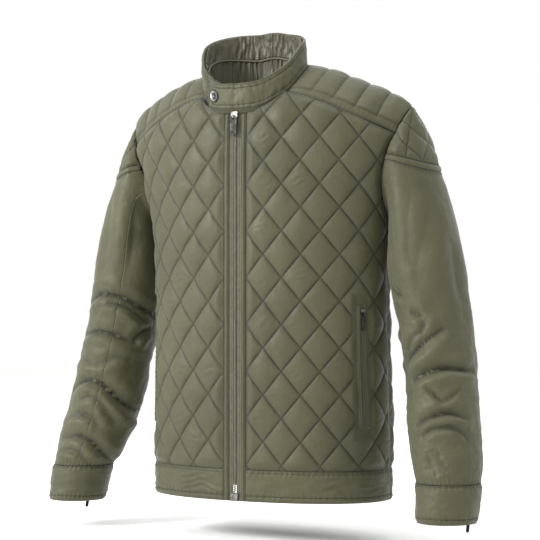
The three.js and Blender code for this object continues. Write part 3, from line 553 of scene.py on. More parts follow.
def wave(points, size, seed):
    """A smooth, seeded unevenness over points, about -1 to 1, from a few crossed waves."""
    draw = np.random.default_rng(seed)
    points = np.asarray(points, float)
    total = np.zeros(points.shape[:-1])
    for octave in range(WAVE_OCTAVES):
        for _ in range(WAVES_EACH):
            way = draw.normal(size=points.shape[-1])
            way /= np.linalg.norm(way)
            phase = draw.uniform(0, 2 * np.pi)
            total += np.sin(points @ way * 2 * np.pi * 1.7**octave / size + phase) / 1.5**octave
    return total / 5


# Quilted panels: a fine lattice of flat cloth, cut to the outline and laid on the body
FINE = 16
INNER_STEP = 8
PAST_EDGE = 4
PUFF_POWER = 0.42


def quilt_lines(across, z):
    """The two families of quilting lines, as numbers that are whole on a line."""
    a = across / QUILT_WIDTH + (z - QUILT_TOP_ROW) / QUILT_HEIGHT
    b = across / QUILT_WIDTH - (z - QUILT_TOP_ROW) / QUILT_HEIGHT
    return a, b


def flat_cloth(low, high, origin):
    """A closed slab of flat cloth whose lattice follows the quilting lines."""
    step_u, step_z = QUILT_WIDTH / 2 / FINE, QUILT_HEIGHT / 2 / FINE
    first_u = math.floor((low[0] - PAST_EDGE - origin) / (FINE * step_u)) * FINE
    last_u = math.ceil((high[0] + PAST_EDGE - origin) / (FINE * step_u)) * FINE
    first_z = math.floor((low[1] - PAST_EDGE - QUILT_TOP_ROW) / (FINE * step_z)) * FINE
    last_z = math.ceil((high[1] + PAST_EDGE - QUILT_TOP_ROW) / (FINE * step_z)) * FINE
    cols, rows = last_u - first_u, last_z - first_z

    def layer(step, height):
        j = np.arange(0, cols + 1, step)
        i = np.arange(0, rows + 1, step)
        across = np.broadcast_to((first_u + j) * step_u, (len(i), len(j)))
        z = np.broadcast_to((QUILT_TOP_ROW + (first_z + i) * step_z)[:, None], (len(i), len(j)))
        bow = 1e-5 * (across**2 + (z - low[1]) ** 2)
        return np.stack([origin + across, z, height(across, z, bow)], axis=-1)

    outer = layer(1, lambda u, z, bow: 1.5 + bow + 0.5 * puff_shape(u, z))
    inner = layer(INNER_STEP, lambda u, z, bow: -WALL - bow)
    count = (rows + 1) * (cols + 1)
    inner_cols = cols // INNER_STEP + 1
    points = np.concatenate([outer.reshape(-1, 3), inner.reshape(-1, 3)])
    faces = []
    i, j = np.meshgrid(np.arange(rows), np.arange(cols), indexing="ij")
    i, j = i.ravel(), j.ravel()
    a = i * (cols + 1) + j
    b, d = a + 1, a + cols + 1
    c = d + 1
    rises = (((first_u + j) // FINE + (first_z + i) // FINE) % 2) == 0
    for part, order in ((rises, ((a, b, c), (a, c, d))), (~rises, ((a, b, d), (b, c, d)))):
        for tri in order:
            faces += np.stack([t[part] for t in tri], axis=1).tolist()
    inner_rows = rows // INNER_STEP + 1
    faces += [f[::-1] for f in grid_faces(inner_rows, inner_cols, count)]

    def o(i, j):
        return i * (cols + 1) + j

    def n(i, j):
        return count + (i // INNER_STEP) * inner_cols + j // INNER_STEP

    def rim(run, start, end):
        for p, q in zip(run, run[1:]):
            faces.append([start, q, p])
        faces.append([start, end, run[-1]])

    step = INNER_STEP
    for j in range(0, cols, step):
        run = range(j, j + step + 1)
        rim([o(0, k) for k in run], n(0, j), n(0, j + step))
        rim([o(rows, k) for k in reversed(run)], n(rows, j + step), n(rows, j))
    for i in range(0, rows, step):
        run = range(i, i + step + 1)
        rim([o(k, cols) for k in run], n(i, cols), n(i + step, cols))
        rim([o(k, 0) for k in reversed(run)], n(i + step, 0), n(i, 0))
    return points, faces


def puff_shape(across, z):
    """The pillow form of the quilting, 0 on a line and 1 in a diamond's middle."""
    a, b = quilt_lines(across, z)
    return np.abs(np.sin(np.pi * a) * np.sin(np.pi * b)) ** PUFF_POWER


def line_reach(across, z, share):
    """The distances from the two families of quilting lines."""
    return [np.abs(a - np.round(a)) * QUILT_WIDTH * share for a in quilt_lines(across, z)]


def line_shade(across, z):
    """1 on a quilting line and soon 0 beside it."""
    near = np.minimum(*line_reach(across, z, 0.77))
    return 0.75 * bell(near, 1.0) + 0.2 * dying(near, 4)


def scratch_object(points, faces):
    mesh = bpy.data.meshes.new("scratch")
    mesh.from_pydata(np.asarray(points).tolist(), [], faces)
    mesh.update()
    return new_object("scratch", mesh)


def cut_to_outline(points, faces, outline):
    """The slab's points and faces inside an outline of flat cloth."""
    count = len(outline)
    prism = [(x, z, h) for h in (-30, 30) for x, z in outline]
    sides = [[i, (i + 1) % count, count + (i + 1) % count, count + i] for i in range(count)]
    caps = [list(range(count))[::-1], list(range(count, 2 * count))]
    slab = scratch_object(points, faces)
    cutter = scratch_object(prism, sides + caps)
    cut = slab.modifiers.new("cut", "BOOLEAN")
    cut.operation = "INTERSECT"
    cut.solver = "MANIFOLD"
    cut.object = cutter
    shaped = slab.evaluated_get(bpy.context.evaluated_depsgraph_get()).to_mesh()
    found = np.zeros(len(shaped.vertices) * 3)
    shaped.vertices.foreach_get("co", found)
    polygons = [list(p.vertices) for p in shaped.polygons]
    for piece in (slab, cutter):
        mesh = piece.data
        bpy.data.objects.remove(piece)
        bpy.data.meshes.remove(mesh)
    return found.reshape(-1, 3), polygons


def outline_distance(outline, u, z):
    nearest = np.full(np.shape(u), np.inf)
    for (ax, az), (bx, bz) in zip(outline, outline[1:] + outline[:1]):
        du, dz = bx - ax, bz - az
        along = np.clip(((u - ax) * du + (z - az) * dz) / max(du * du + dz * dz, 1e-9), 0, 1)
        nearest = np.minimum(nearest, np.hypot(u - ax - du * along, z - az - dz * along))
    return nearest


def outline_area(outline):
    x, z = np.array(outline).T
    return abs(np.sum(x * np.roll(z, -1) - np.roll(x, -1) * z)) / 2


def puckers(u, z, across, seed):
    """Small creases that run out from the stitching, sharper near a line."""
    a, b = quilt_lines(across, z)
    near_a, near_b = line_reach(across, z, 0.64)
    spot = plane(u, z)
    drift = 2.2 * wave(spot, 46, seed)
    creases = ripple(b * 6.2 + drift) * dying(near_a, 5.5) * smooth(near_a, 0, 2.2)
    creases += ripple(a * 6.2 - drift) * dying(near_b, 5.5) * smooth(near_b, 0, 2.2)
    strong = 0.55 + 0.45 * wave(spot, 90, seed + 1)
    level = ripple(z / 13 + 0.8 * wave(spot, 60, seed + 2))
    drawn = smooth(wave(spot, 130, seed + 3), 0.05, 0.5)
    return 0.55 * strong * creases + 0.4 * drawn * level * np.minimum(near_a, near_b) / 12


def quilt_height(u, z, across, edge, flatten, seed):
    """The height of quilted cloth, from its puff, its puckers and its gathered edge."""
    spot = plane(u, z)
    swell = QUILT_PUFF * (0.86 + 0.2 * wave(spot, 140, seed + 5))
    lift = swell * puff_shape(across, z) + puckers(u, z, across, seed)
    seam = 0.5 * np.sin(2 * np.pi * (u + z) / 7.5 + 3 * wave(spot, 50, seed + 6))
    gather = seam * dying(edge, 7) * smooth(edge, 0.3, 3)
    return lift * smooth(edge, 0, 13) * flatten(u, z) + gather


def quilted_panel(name, outline, origin, surface, side, flatten, seed, yoke):
    low, high = np.min(outline, axis=0), np.max(outline, axis=0)
    points, faces = cut_to_outline(*flat_cloth(low, high, origin), outline)
    u, z, h = points.T
    edge = outline_distance(outline, u, z)
    lift = np.where(h < 0, -WALL, quilt_height(u, z, u - origin, edge, flatten, seed))
    laid = surface(u, z) + normals(surface, u, z, side) * lift[:, None]
    # Painted shade down the quilting's lines and along the panel's seamed edges
    painted_shade = line_shade(u - origin, z) * flatten(u, z) + 0.8 * dying(edge, 1.5)
    dress(name, f"cloth_{name}", (laid, faces), QUILTED, np.where(h < 0, 0, painted_shade),
          flat=tuple((high - low) * MM), held="stretched", rests_on=[yoke],
          area=outline_area(outline) * MM * MM)


# Outlines of the panels in flat cloth, across by height
HALF_GAP = SEAM_GAP / 2
YOKE_FRONT_TURN, YOKE_BACK_TURN = 66.0, 122.0
YOKE_FRONT = ((110, -58), (148, -73), (186, -91))
YOKE_BACK = ((105, -22), (145, -48), (188, -80))
RIDGE = ((118, -22, -15), (154, -10, -28), (188, 2, -42), (218, 14, -56))
ARMHOLE_CORNER = math.radians(62)
ARMHOLE_STEPS, SIDE_STEPS, SEAM_STEPS = 24, 22, 12


def on_body(x, z, is_back):
    return body_point(arc_at_x(x, z, is_back), z)


CURVE_STEPS = 400


def curve_through(points, at):
    """Points along a smooth curve through given points, by share of its length."""
    points = np.array(points, float)
    steps = np.linalg.norm(np.diff(points, axis=0), axis=1) ** 0.5
    knots = np.concatenate([[0], np.cumsum(steps)])
    fine = np.linspace(0, knots[-1], CURVE_STEPS)
    dense = np.stack([between(knots, points[:, k], fine) for k in range(3)], axis=1)
    run = np.concatenate([[0], np.cumsum(np.linalg.norm(np.diff(dense, axis=0), axis=1))])
    at = np.asarray(at, float) * run[-1]
    return np.stack([np.interp(at, run, dense[:, k]) for k in range(3)], axis=-1)


FRONT_SEAM = [neck_point(YOKE_FRONT_TURN)] + [on_body(x, z, False) for x, z in YOKE_FRONT]
FRONT_SEAM += [armhole_point(ARMHOLE_CORNER)[0]]
BACK_SEAM = [neck_point(YOKE_BACK_TURN)] + [on_body(x, z, True) for x, z in YOKE_BACK]
BACK_SEAM += [armhole_point(-ARMHOLE_CORNER)[0]]
RIDGE_LINE = [neck_point((YOKE_FRONT_TURN + YOKE_BACK_TURN) / 2)]
RIDGE_LINE += [np.array(p, float) for p in RIDGE] + [armhole_point(0)[0]]


def yoke_plain(along, across):
    front = curve_through(FRONT_SEAM, along) * (across * (across + 1) / 2)[..., None]
    top = curve_through(RIDGE_LINE, along) * (1 - across**2)[..., None]
    back = curve_through(BACK_SEAM, along) * (across * (across - 1) / 2)[..., None]
    return front + top + back


def yoke_point(along, across):
    """Points of the shoulder, from neck to armhole 0 to 1 and from back to front -1 to 1."""
    along, across = np.broadcast_arrays(np.asarray(along, float), np.asarray(across, float))
    along = np.clip(along, 0, 1)
    point = yoke_plain(along, across)
    middle, reach = (YOKE_FRONT_TURN + YOKE_BACK_TURN) / 2, (YOKE_BACK_TURN - YOKE_FRONT_TURN) / 2
    near_neck = np.maximum(1 - along * 4, 0) ** 2
    end = yoke_plain(np.zeros_like(along), across)
    point = point + (neck_point(middle - across * reach) - end) * near_neck[..., None]
    near_arm = np.maximum(along * 4 - 3, 0) ** 2
    end = yoke_plain(np.ones_like(along), across)
    turns = (across * ARMHOLE_CORNER).ravel()
    edge = np.array([armhole_point(t)[0] for t in turns]).reshape(across.shape + (3,))
    return point + (edge - end) * near_arm[..., None]


def panel_place(point, is_back):
    """A point of the body as a place in its panel's flat cloth, down by half a seam's gap."""
    arc = arc_at_x(point[0], point[2], is_back)
    return (float(whole_arc(point[2])) - arc if is_back else arc, point[2] - HALF_GAP)


def armhole_run(is_back):
    run = []
    for t in np.linspace(ARMHOLE_CORNER, math.pi, ARMHOLE_STEPS):
        point, arc = armhole_point(-t if is_back else t)
        u = float(whole_arc(point[2])) - arc if is_back else arc
        run.append((u - SEAM_GAP * abs(math.sin(t)), point[2] + SEAM_GAP * min(math.cos(t), 0)))
    return run


UNDER_POINT, UNDER_ARC = armhole_point(math.pi)
SIDE_SHIFT = UNDER_ARC - float(side_arc(UNDER_POINT[2]))


def side_at(z, is_back):
    """The arc length of a panel's side edge, from the middle of the front or back."""
    if is_back:
        return whole_arc(z) - side_arc(z) - SIDE_SHIFT - HALF_GAP
    return side_arc(z) + SIDE_SHIFT - HALF_GAP


def side_run(is_back):
    heights = np.linspace(UNDER_POINT[2] - 2, HEM_TOP + SEAM_GAP, SIDE_STEPS)
    return [(float(side_at(z, is_back)), z) for z in heights]


def neck_run(turns, is_back):
    return [panel_place(p, is_back) for p in neck_point(turns)]


def seam_run(seam, is_back):
    run = curve_through(seam, np.linspace(0, 1, SEAM_STEPS)[1:-1])
    return [panel_place(p, is_back) for p in run]


def front_outline():
    neck_start = math.degrees(math.asin(FRONT_EDGE / NECK[0][1]))
    return (
        [(FRONT_EDGE, HEM_TOP + SEAM_GAP), (FRONT_EDGE, neck_point(neck_start)[2] - HALF_GAP)]
        + neck_run(np.linspace(23, YOKE_FRONT_TURN, 12), False)
        + seam_run(FRONT_SEAM, False)
        + armhole_run(False)
        + side_run(False)
    )


def back_outline():
    right = (
        side_run(True)[::-1]
        + armhole_run(True)[::-1]
        + seam_run(BACK_SEAM, True)[::-1]
        + neck_run(np.linspace(YOKE_BACK_TURN, 172, 10), True)
    )
    return right + [(0.0, neck_point(180)[2] - HALF_GAP)] + flip_outline(right)


def flip_outline(outline):
    return [(-u, z) for u, z in outline[::-1]]


# Pockets lie in front of the side seams, and the quilting is flat under them
POCKET_INSET = 50.0
POCKET_TOP, POCKET_BOTTOM = -372.0, -562.0
FLAT_BESIDE, FLAT_BEYOND, FLAT_FADE = 9, 8, 12


def pocket_line(z):
    return side_arc(z) - POCKET_INSET


def flat_at_pocket(u, z):
    beside = np.abs(np.abs(u) - pocket_line(z)) - FLAT_BESIDE
    beyond = np.maximum(POCKET_BOTTOM - FLAT_BEYOND - z, z - POCKET_TOP - FLAT_BEYOND)
    return smooth(np.maximum(beside, beyond), 0, FLAT_FADE)


def whole(u, z):
    return np.ones_like(u)


def quilted_panels():
    """Each panel's name, outline, middle of the quilting, surface, side and flattening."""
    front = front_outline()
    found = (
        ("front_left", front, FRONT_EDGE, front_surface, 1, flat_at_pocket),
        ("front_right", flip_outline(front), -FRONT_EDGE, front_surface, 1, flat_at_pocket),
        ("back", back_outline(), 0.0, back_surface, -1, whole),
    )
    for name, outline, *rest in found:
        yield (name, [tuple(map(float, p)) for p in outline], *rest)


def build_body():
    yokes = ("yoke_left", "yoke_right", "yoke_left")
    for panel, seed, yoke in zip(quilted_panels(), (11, 23, 37), yokes):
        quilted_panel(*panel, seed, yoke)


# Shoulder yokes, with padded channels that run over from front to back
YOKE_RIBS = 5
RIB_PUFF = 4.2
YOKE_LONG, YOKE_WIDE = 178.0, 62.0
YOKE_REACH = 0.992
YOKE_ROWS, RIB_COLS = 73, 24
RIGHT_FULLER = 7


def yoke_surface(u, v):
    return yoke_point(u / YOKE_LONG, v / YOKE_WIDE)


def build_yokes():
    along = np.linspace(0.003, 0.998, RIB_COLS * YOKE_RIBS + 1)
    across = np.linspace(-YOKE_REACH, YOKE_REACH, YOKE_ROWS)
    us, vs = np.meshgrid(along * YOKE_LONG, across * YOKE_WIDE)
    spot = plane(us, vs)
    inside = YOKE_WIDE - np.abs(vs)
    ribs = us / us.max() * YOKE_RIBS
    off = np.minimum(ribs % 1, 1 - ribs % 1) * YOKE_LONG / YOKE_RIBS
    edge = smooth(YOKE_WIDE * YOKE_REACH - np.abs(vs), 0, 12)
    creases = 0.35 * ripple(vs / 9 + wave(spot, 60, 5)) * dying(off, 7) * smooth(off, 0, 2)
    lift = RIB_PUFF * np.abs(np.sin(np.pi * ribs)) ** 0.45 * (0.9 + 0.15 * wave(spot, 70, 4))
    lift = (lift + creases) * edge + 0.25 * ripple(us / 7) * (1 - edge)
    # Painted shade in the stitched channels between ribs, along the stitch rows and at the edges
    painted_shade = 0.9 * bell(off, 0.9) * smooth(inside, 8, 11)
    painted_shade = painted_shade + 0.7 * bell(inside - 9.5, 1.0) + 0.5 * dying(inside, 1.5)
    fuller = {"left": 0, "right": RIGHT_FULLER * smooth(us, 20, 110) * smooth(inside, 4, 50)}
    for name, sign in SIDES:
        wall = wall_on(yoke_surface, -1, us, vs, lift + fuller[name], -WALL)
        dress(f"yoke_{name}", f"cloth_yoke_{name}", wall, QUILTED, painted_shade, sign,
              flat=(0.178, 0.135), held="stretched", rests_on=[f"cloth_front_{name}"])


# Sleeves
RING_COUNT = len(SLEEVE)
SLEEVE_ROWS = columns(SLEEVE_COLUMNS, SLEEVE)
SLEEVE_AT = (np.arange(RING_COUNT) + 1) / RING_COUNT
TURN_SCALE, DROP_SCALE = 58.0, 640.0


def ring_point(turn, at):
    get = {k: between(SLEEVE_AT, SLEEVE_ROWS[k], at) for k in SLEEVE_COLUMNS}
    out = (1 + np.cos(turn)) / 2
    x = get["inX"] + (get["outX"] - get["inX"]) * out
    z = get["inZ"] + (get["outZ"] - get["inZ"]) * out
    return np.stack([x, get["y"] - get["along"] * np.sin(turn), z], axis=-1)


ARMHOLE_TURNS = np.linspace(-2 * math.pi, 2 * math.pi, 721)
ARMHOLE_RING = np.array([armhole_point(t)[0] for t in ARMHOLE_TURNS])


def armhole_ring(turn):
    return np.stack([np.interp(turn, ARMHOLE_TURNS, ARMHOLE_RING[:, k]) for k in range(3)], axis=-1)


def sleeve_base(turn, drop):
    """Points of the sleeve by the angle from the top towards the front and the drop 0 to 1."""
    turn, drop = np.broadcast_arrays(np.asarray(turn, float), np.asarray(drop, float))
    first = 1 / RING_COUNT
    t = np.clip(drop / first, 0, 1)[..., None]
    end = ring_point(turn, np.full(turn.shape, first))
    leave = (ring_point(turn, np.full(turn.shape, 2 * first)) - end) * 0.35
    upper = armhole_ring(turn) * (1 - t) ** 2 + (end - leave) * 2 * t * (1 - t) + end * t * t
    return np.where((drop >= first)[..., None], ring_point(turn, np.maximum(drop, first)), upper)


def sleeve_plain(u, v):
    return sleeve_base(u / TURN_SCALE, -v / DROP_SCALE)


# Creases of the sleeves: depth, width, and a line of points by turn and height
HIDDEN_FOLDS = (
    (7, 6, ((-120, -440), (-95, -425), (-70, -422), (-45, -432))),
    (6, 5, ((-110, -486), (-85, -474), (-60, -476), (-38, -488))),
    (6, 5, ((-128, -548), (-100, -534), (-74, -536), (-50, -550))),
    (4, 4, ((-90, -575), (-68, -566), (-46, -572))),
    (5, 5, ((-125, -600), (-100, -590), (-78, -596))),
    (3, 9, ((-60, -210), (-72, -260), (-80, -320), (-84, -360))),
)
LEFT_FOLDS = HIDDEN_FOLDS + (
    (7, 6, ((126, -457), (107, -445), (90, -434), (70, -419), (50, -407))),
    (4, 4, ((80, -392), (80, -404), (88, -414), (104, -423), (123, -444))),
    (5, 4, ((102, -385), (91, -388), (80, -392))),
    (8, 5, ((117, -489), (100, -479), (79, -471), (54, -467), (29, -469), (1, -472))),
    (4, 3, ((90, -494), (78, -503), (64, -515), (48, -508), (34, -495))),
    (7, 4.5, ((114, -553), (96, -542), (76, -535), (58, -532), (41, -535), (24, -543))),
    (5, 3.5, ((106, -569), (86, -556), (69, -552), (53, -553), (35, -561), (28, -575))),
    (4, 4, ((139, -350), (125, -358), (111, -361))),
    (3, 9, ((58, -196), (76, -241), (86, -286), (85, -322))),
    (3, 8, ((30, -211), (50, -256), (71, -300), (83, -345))),
    (3, 8, ((13, -278), (18, -322), (15, -367), (10, -404))),
    (3, 6, ((80, -581), (76, -602), (64, -615))),
    (3, 6, ((98, -588), (91, -610), (82, -624))),
    (5, 5, ((150, -400), (168, -408), (186, -404))),
    (4, 5, ((156, -450), (172, -456), (190, -450))),
    (5, 5, ((152, -520), (170, -512), (190, -518))),
)
RIGHT_FOLDS = HIDDEN_FOLDS + (
    (10, 6, ((37, -370), (72, -356), (100, -359), (122, -365), (148, -378), (185, -394))),
    (6, 4, ((78, -376), (98, -371), (119, -376), (140, -387), (166, -407))),
    (7, 5, ((44, -423), (76, -417), (104, -420), (128, -428), (156, -440))),
    (6, 5, ((176, -410), (159, -420), (148, -433))),
    (4, 5, ((36, -456), (85, -468), (108, -467), (128, -459), (154, -464))),
    (9, 6, ((45, -514), (76, -497), (100, -498), (121, -508), (142, -523), (166, -538),
            (214, -556))),
    (5, 4, ((79, -530), (98, -523), (118, -532), (136, -550), (158, -568))),
    (4, 4, ((65, -559), (86, -550), (112, -558), (131, -574))),
    (7, 5, ((60, -592), (90, -586), (111, -590), (132, -600), (158, -617), (198, -637))),
    (4, 4, ((60, -612), (93, -609), (116, -618), (138, -636))),
    (3, 9, ((54, -196), (66, -244), (70, -292), (72, -333))),
    (3, 8, ((114, -204), (124, -253), (121, -298), (116, -337))),
)

# Fullness of the cloth of each sleeve: turn, height, half height, lift
LEFT_FULLNESS = ((150, -480, 90, -6), (128, -240, 80, -6))
RIGHT_FULLNESS = ((195, -560, 110, 8), (128, -240, 80, -4))


def line_off(us, zs, line):
    """Signed distance above a line of points, and the share of the way along it."""
    near, signed, along = np.full(us.shape, 1e9), np.zeros(us.shape), np.zeros(us.shape)
    steps = np.diff(line, axis=0)
    if steps[:, 0].sum() < 0:
        line, steps = line[::-1], -steps[::-1]
    lengths = np.linalg.norm(steps, axis=1)
    before = np.concatenate([[0], np.cumsum(lengths)[:-1]])
    for start, step, length, passed in zip(line, steps, lengths, before):
        du, dz = us - start[0], zs - start[1]
        t = np.clip((du * step[0] + dz * step[1]) / length**2, 0, 1)
        off = np.hypot(du - t * step[0], dz - t * step[1])
        side = np.sign(dz * step[0] - du * step[1])
        closer = off < near
        signed = np.where(closer, off * side, signed)
        along = np.where(closer, passed + t * length, along)
        near = np.where(closer, off, near)
    return signed, along / lengths.sum()


def rounded_line(line):
    """The line's points, with one more between each two, on a smooth curve."""
    line = np.array(line, float)
    padded = np.concatenate([[2 * line[0] - line[1]], line, [2 * line[-1] - line[-2]]])
    middle = (9 * (padded[1:-2] + padded[2:-1]) - padded[:-3] - padded[3:]) / 16
    out = np.empty((2 * len(line) - 1, 2))
    out[::2], out[1::2] = line, middle
    return out


FOLD_WIDTH, FOLD_DEPTH, FOLD_ROUNDING = 1.3, 1.1, 3
MM_PER_DEGREE = math.radians(1) * TURN_SCALE


def turn_off(turn, middle):
    """The angle from a middle one, the shorter way round."""
    return np.angle(np.exp(1j * (turn - middle)))


def arm_line(line):
    """A line of points by turn in degrees and height, as a rounded one in millimetres."""
    return rounded_line(line) * (MM_PER_DEGREE, 1)


def fold_lift(turn, point, folds):
    """Rounded creases with a ridge above and a dip below each, and the painted shade of each
    crease.
    """
    lift, painted_shade = np.zeros(turn.shape), np.zeros(turn.shape)
    for depth, width, line in folds:
        width = width * FOLD_WIDTH
        line = arm_line(line)
        middle = line[:, 0].mean()
        us = middle + turn_off(turn, middle / TURN_SCALE) * TURN_SCALE
        off, along = line_off(us, point[..., 2], line)
        taper = np.clip(4 * along * (1 - along), 0, 1) ** 0.5
        trough = -dying(np.hypot(off, FOLD_ROUNDING) - FOLD_ROUNDING, width)
        trough = trough + 0.8 * bell(off + 2.1 * width, 1.5 * width)
        ridge = 0.4 * bell(off - 2.2 * width, 1.7 * width)
        lift = lift + (trough + ridge) * depth * FOLD_DEPTH * taper
        painted_shade = painted_shade + min(depth / 8, 1) * bell(off, 3.0) * taper * (width < 9)
    return lift, painted_shade


def cap_drop(turn, below):
    """The drop where the cap's lower edge runs round the arm, so far below its line."""
    line = CAP_LINE - CAP_LINE_RISE * np.maximum(np.cos(turn), 0) - below
    low, high = np.zeros_like(turn), np.full_like(turn, 0.35)
    for _ in range(CAP_LINE_STEPS):
        middle = (low + high) / 2
        is_above = sleeve_base(turn, middle)[..., 2] > line
        low, high = np.where(is_above, middle, low), np.where(is_above, high, middle)
    return low


SLEEVE_SEAM = math.radians(112)
SLEEVE_SPLIT = 0.001
UPPER_GRID, UNDER_GRID = (149, 321), (73, 241)
CAP_COLS, BAND_GRID, CUFF_GRID = 161, (150, 13), (240, 45)
CUFF_SEAM, ROW_CLEAR, ARM_CLEAR = 0.9, 0.0007, 0.0035
FIRST_DROP = 0.0001
CAP_END = math.radians(85.5)
BAND_PAST_CAP = 0.035
BAND_HALF = 4.5

CAP_LINE, CAP_LINE_RISE, CAP_LINE_STEPS = -150, 18, 26

# Wrinkles of the sleeves: height, size, upright stretch, share above and more lower down
WRINKLES = ((1.5, 74, 1.5, 0.45, 0.75), (0.5, 33, 1.6, 0.35, 0.85), (0.16, 13, 1.0, 0.4, 1.0))


def band_top(turn):
    return np.maximum(cap_drop(turn, -BAND_HALF), ARM_CLEAR * 2.2)


def band_foot(turn):
    return np.maximum(cap_drop(turn, BAND_HALF), band_top(turn) + ARM_CLEAR)


def sleeve_start(turn):
    is_under_band = np.abs(turn) < CAP_END + 0.01
    open_arm = np.maximum(cap_drop(turn, BAND_HALF), FIRST_DROP)
    return np.where(is_under_band, band_foot(turn) + ROW_CLEAR, open_arm)


def arm_grid(turn, drop):
    """A grid round the arm: angles, drops, places on its surface, points and the way out."""
    turns, drop = np.broadcast_arrays(turn, drop)
    us, vs = turns * TURN_SCALE, -drop * DROP_SCALE
    return turns, drop, us, sleeve_plain(us, vs), normals(sleeve_plain, us, vs, -1)


def armhole_tuck(drop):
    """Cloth drawn in at the armhole, so that the seam has no gap."""
    return 6 * dying(drop * DROP_SCALE, 0.5)


def sleeve_part(node, first, last, grid, folds, fullness, sign, seed, flat, rests_on):
    """One cloth of the sleeve, with its folds and fine wrinkles, and its wall."""
    cols, rows = grid
    turn = np.linspace(first, last, cols)
    start = sleeve_start(turn)[None, :]
    share = np.linspace(0, 1, rows)[:, None] ** 0.97
    turns, drop, us, at, out = arm_grid(turn, start + (CUFF_SEAM - start) * share)
    to_cuff, from_start = (CUFF_SEAM - drop) * DROP_SCALE, (drop - start) * DROP_SCALE
    low = smooth(-at[..., 2], 260, 480)
    lift, creases = fold_lift(turns, at, folds)
    for middle, height, half, full in fullness:
        around_it = bell(turn_off(turns, math.radians(middle)), 0.8)
        lift = lift + full * around_it * bell(at[..., 2] - height, half)
    for k, (high, size, stretch, above, more) in enumerate(WRINKLES):
        lift = lift + high * wave(at * (1, 1, stretch), size, seed + k) * (above + more * low)
    ridged = 1 - np.abs(wave(at * (0.8, 0.8, 2.4), 46, seed + 3)) * 2.2
    lift = lift + 0.4 * np.clip(ridged, 0, 1) * low
    edge = np.minimum(smooth(drop - start, 0, 0.045), smooth(CUFF_SEAM - drop, 0, 0.03))
    tuck = 1 - 0.1 * bell(np.minimum(turns - first, last - turns) * TURN_SCALE, 3)
    gather = ripple(us / 8 + 0.4 * wave(at, 30, seed + 5))
    lift = lift * (0.12 + 0.88 * edge) * tuck + edge * tuck
    lift = lift + gather * (0.55 * dying(to_cuff, 16) + 0.25 * dying(from_start, 9))
    lift = lift - armhole_tuck(drop)
    # Painted shade in the troughs and the folds' creases (creases), at the cuff seam and at the top
    # seam
    painted_shade = 0.45 * smooth(-lift, 1, 7) + 0.95 * creases
    painted_shade = painted_shade + 0.6 * dying(to_cuff, 2) + 0.4 * dying(from_start, 2)
    dress(node, f"cloth_{node}", wall_between(at, out, lift, lift - WALL), PLAIN, painted_shade, sign,
          flat=flat, held="stretched", rests_on=[rests_on])


def build_sleeve(name, sign, folds, fullness, seed):
    start, end = SLEEVE_SEAM - SLEEVE_SPLIT, SLEEVE_SEAM + SLEEVE_SPLIT
    sleeve_part(f"upper_sleeve_{name}", -start, start, UPPER_GRID, folds, fullness, sign, seed,
                (0.235, 0.50), f"cloth_sleeve_cap_{name}")
    sleeve_part(f"under_sleeve_{name}", end, 2 * math.pi - end, UNDER_GRID, folds, fullness, sign,
                seed, (0.13, 0.50), f"cloth_upper_sleeve_{name}")


# Quilting of the sleeve cap: lines of points by turn and height
CAP_LINES = (
    ((58, -116), (53, -130), (40, -144), (24, -161), (12, -178)),
    ((16, -76), (24, -91), (34, -109), (44, -129), (55, -152), (62, -166)),
    ((52, -92), (40, -99), (30, -109), (16, -120), (-10, -133), (-30, -146)),
    ((-22, -106), (-6, -121), (7, -134), (20, -149), (29, -162), (36, -174)),
    ((-70, -142), (-50, -128), (-30, -112), (-8, -96), (8, -84)),
    ((-14, -168), (-28, -148), (-44, -128), (-58, -110)),
)


def build_cap(name, sign, seed):
    turn = np.linspace(-CAP_END, CAP_END, CAP_COLS)
    share = np.concatenate([[0, 0.004, 0.01], np.linspace(0.02, 1, 61)])[:, None]
    foot = np.maximum(band_top(turn) - ROW_CLEAR, ARM_CLEAR + 0.003)[None, :]
    turns, drop, us, at, out = arm_grid(turn, FIRST_DROP + (foot - FIRST_DROP) * share)
    off = np.minimum(drop, foot - drop) * DROP_SCALE
    off = np.minimum(off, (CAP_END - np.abs(turns)) * TURN_SCALE)
    near = np.full(us.shape, 99.0)
    for line in CAP_LINES:
        near = np.minimum(near, np.abs(line_off(us, at[..., 2], arm_line(line))[0]))
    lift = 4.2 * np.clip(near / 15, 0, 1) ** 0.5
    lift = lift + 0.35 * wave(at, 26, seed) + 0.2 * wave(at, 11, seed + 1)
    lift = lift + 0.35 * ripple((us + at[..., 2]) / 8.5) * dying(near, 4)
    lift = lift * smooth(off, 0, 12) + 0.4 * ripple(us / 7) * dying(off, 6) - armhole_tuck(drop)
    # Painted shade along the cap's quilting lines and at its edges
    painted_shade = 0.9 * bell(near, 0.9) * smooth(off, 1, 4) + 0.6 * dying(off, 1.5)
    dress(f"sleeve_cap_{name}", f"cloth_sleeve_cap_{name}", wall_between(at, out, lift, -WALL),
          QUILTED, painted_shade, sign, flat=(0.176, 0.092), held="stretched",
          rests_on=[f"cloth_front_{name}"])


def build_band(name, sign):
    """The band round the arm under the cap, rolled over a cord."""
    turn = np.linspace(-CAP_END - BAND_PAST_CAP, CAP_END + BAND_PAST_CAP, BAND_GRID[0])
    share = np.linspace(0, 1, BAND_GRID[1])[:, None]
    top, foot = band_top(turn)[None, :], band_foot(turn)[None, :]
    _, _, us, at, out = arm_grid(turn, top + (foot - top) * share)
    lift = 0.6 + 1.4 * np.sin(np.pi * share) ** 0.6 + 0.15 * ripple(us / 6)
    dress(f"cap_band_{name}", f"cloth_cap_band_{name}", wall_between(at, out, lift, -1.6), PLAIN,
          None, sign, flat=(0.20, 0.011), held="stretched",
          rests_on=[f"cloth_sleeve_cap_{name}"])


# Stitch rows of the cuff, from its hem and from its seam
CUFF_HEM_ROW, CUFF_SEAM_ROW = 9, 3.4
CUFF_ZIP_TURN = -75.0


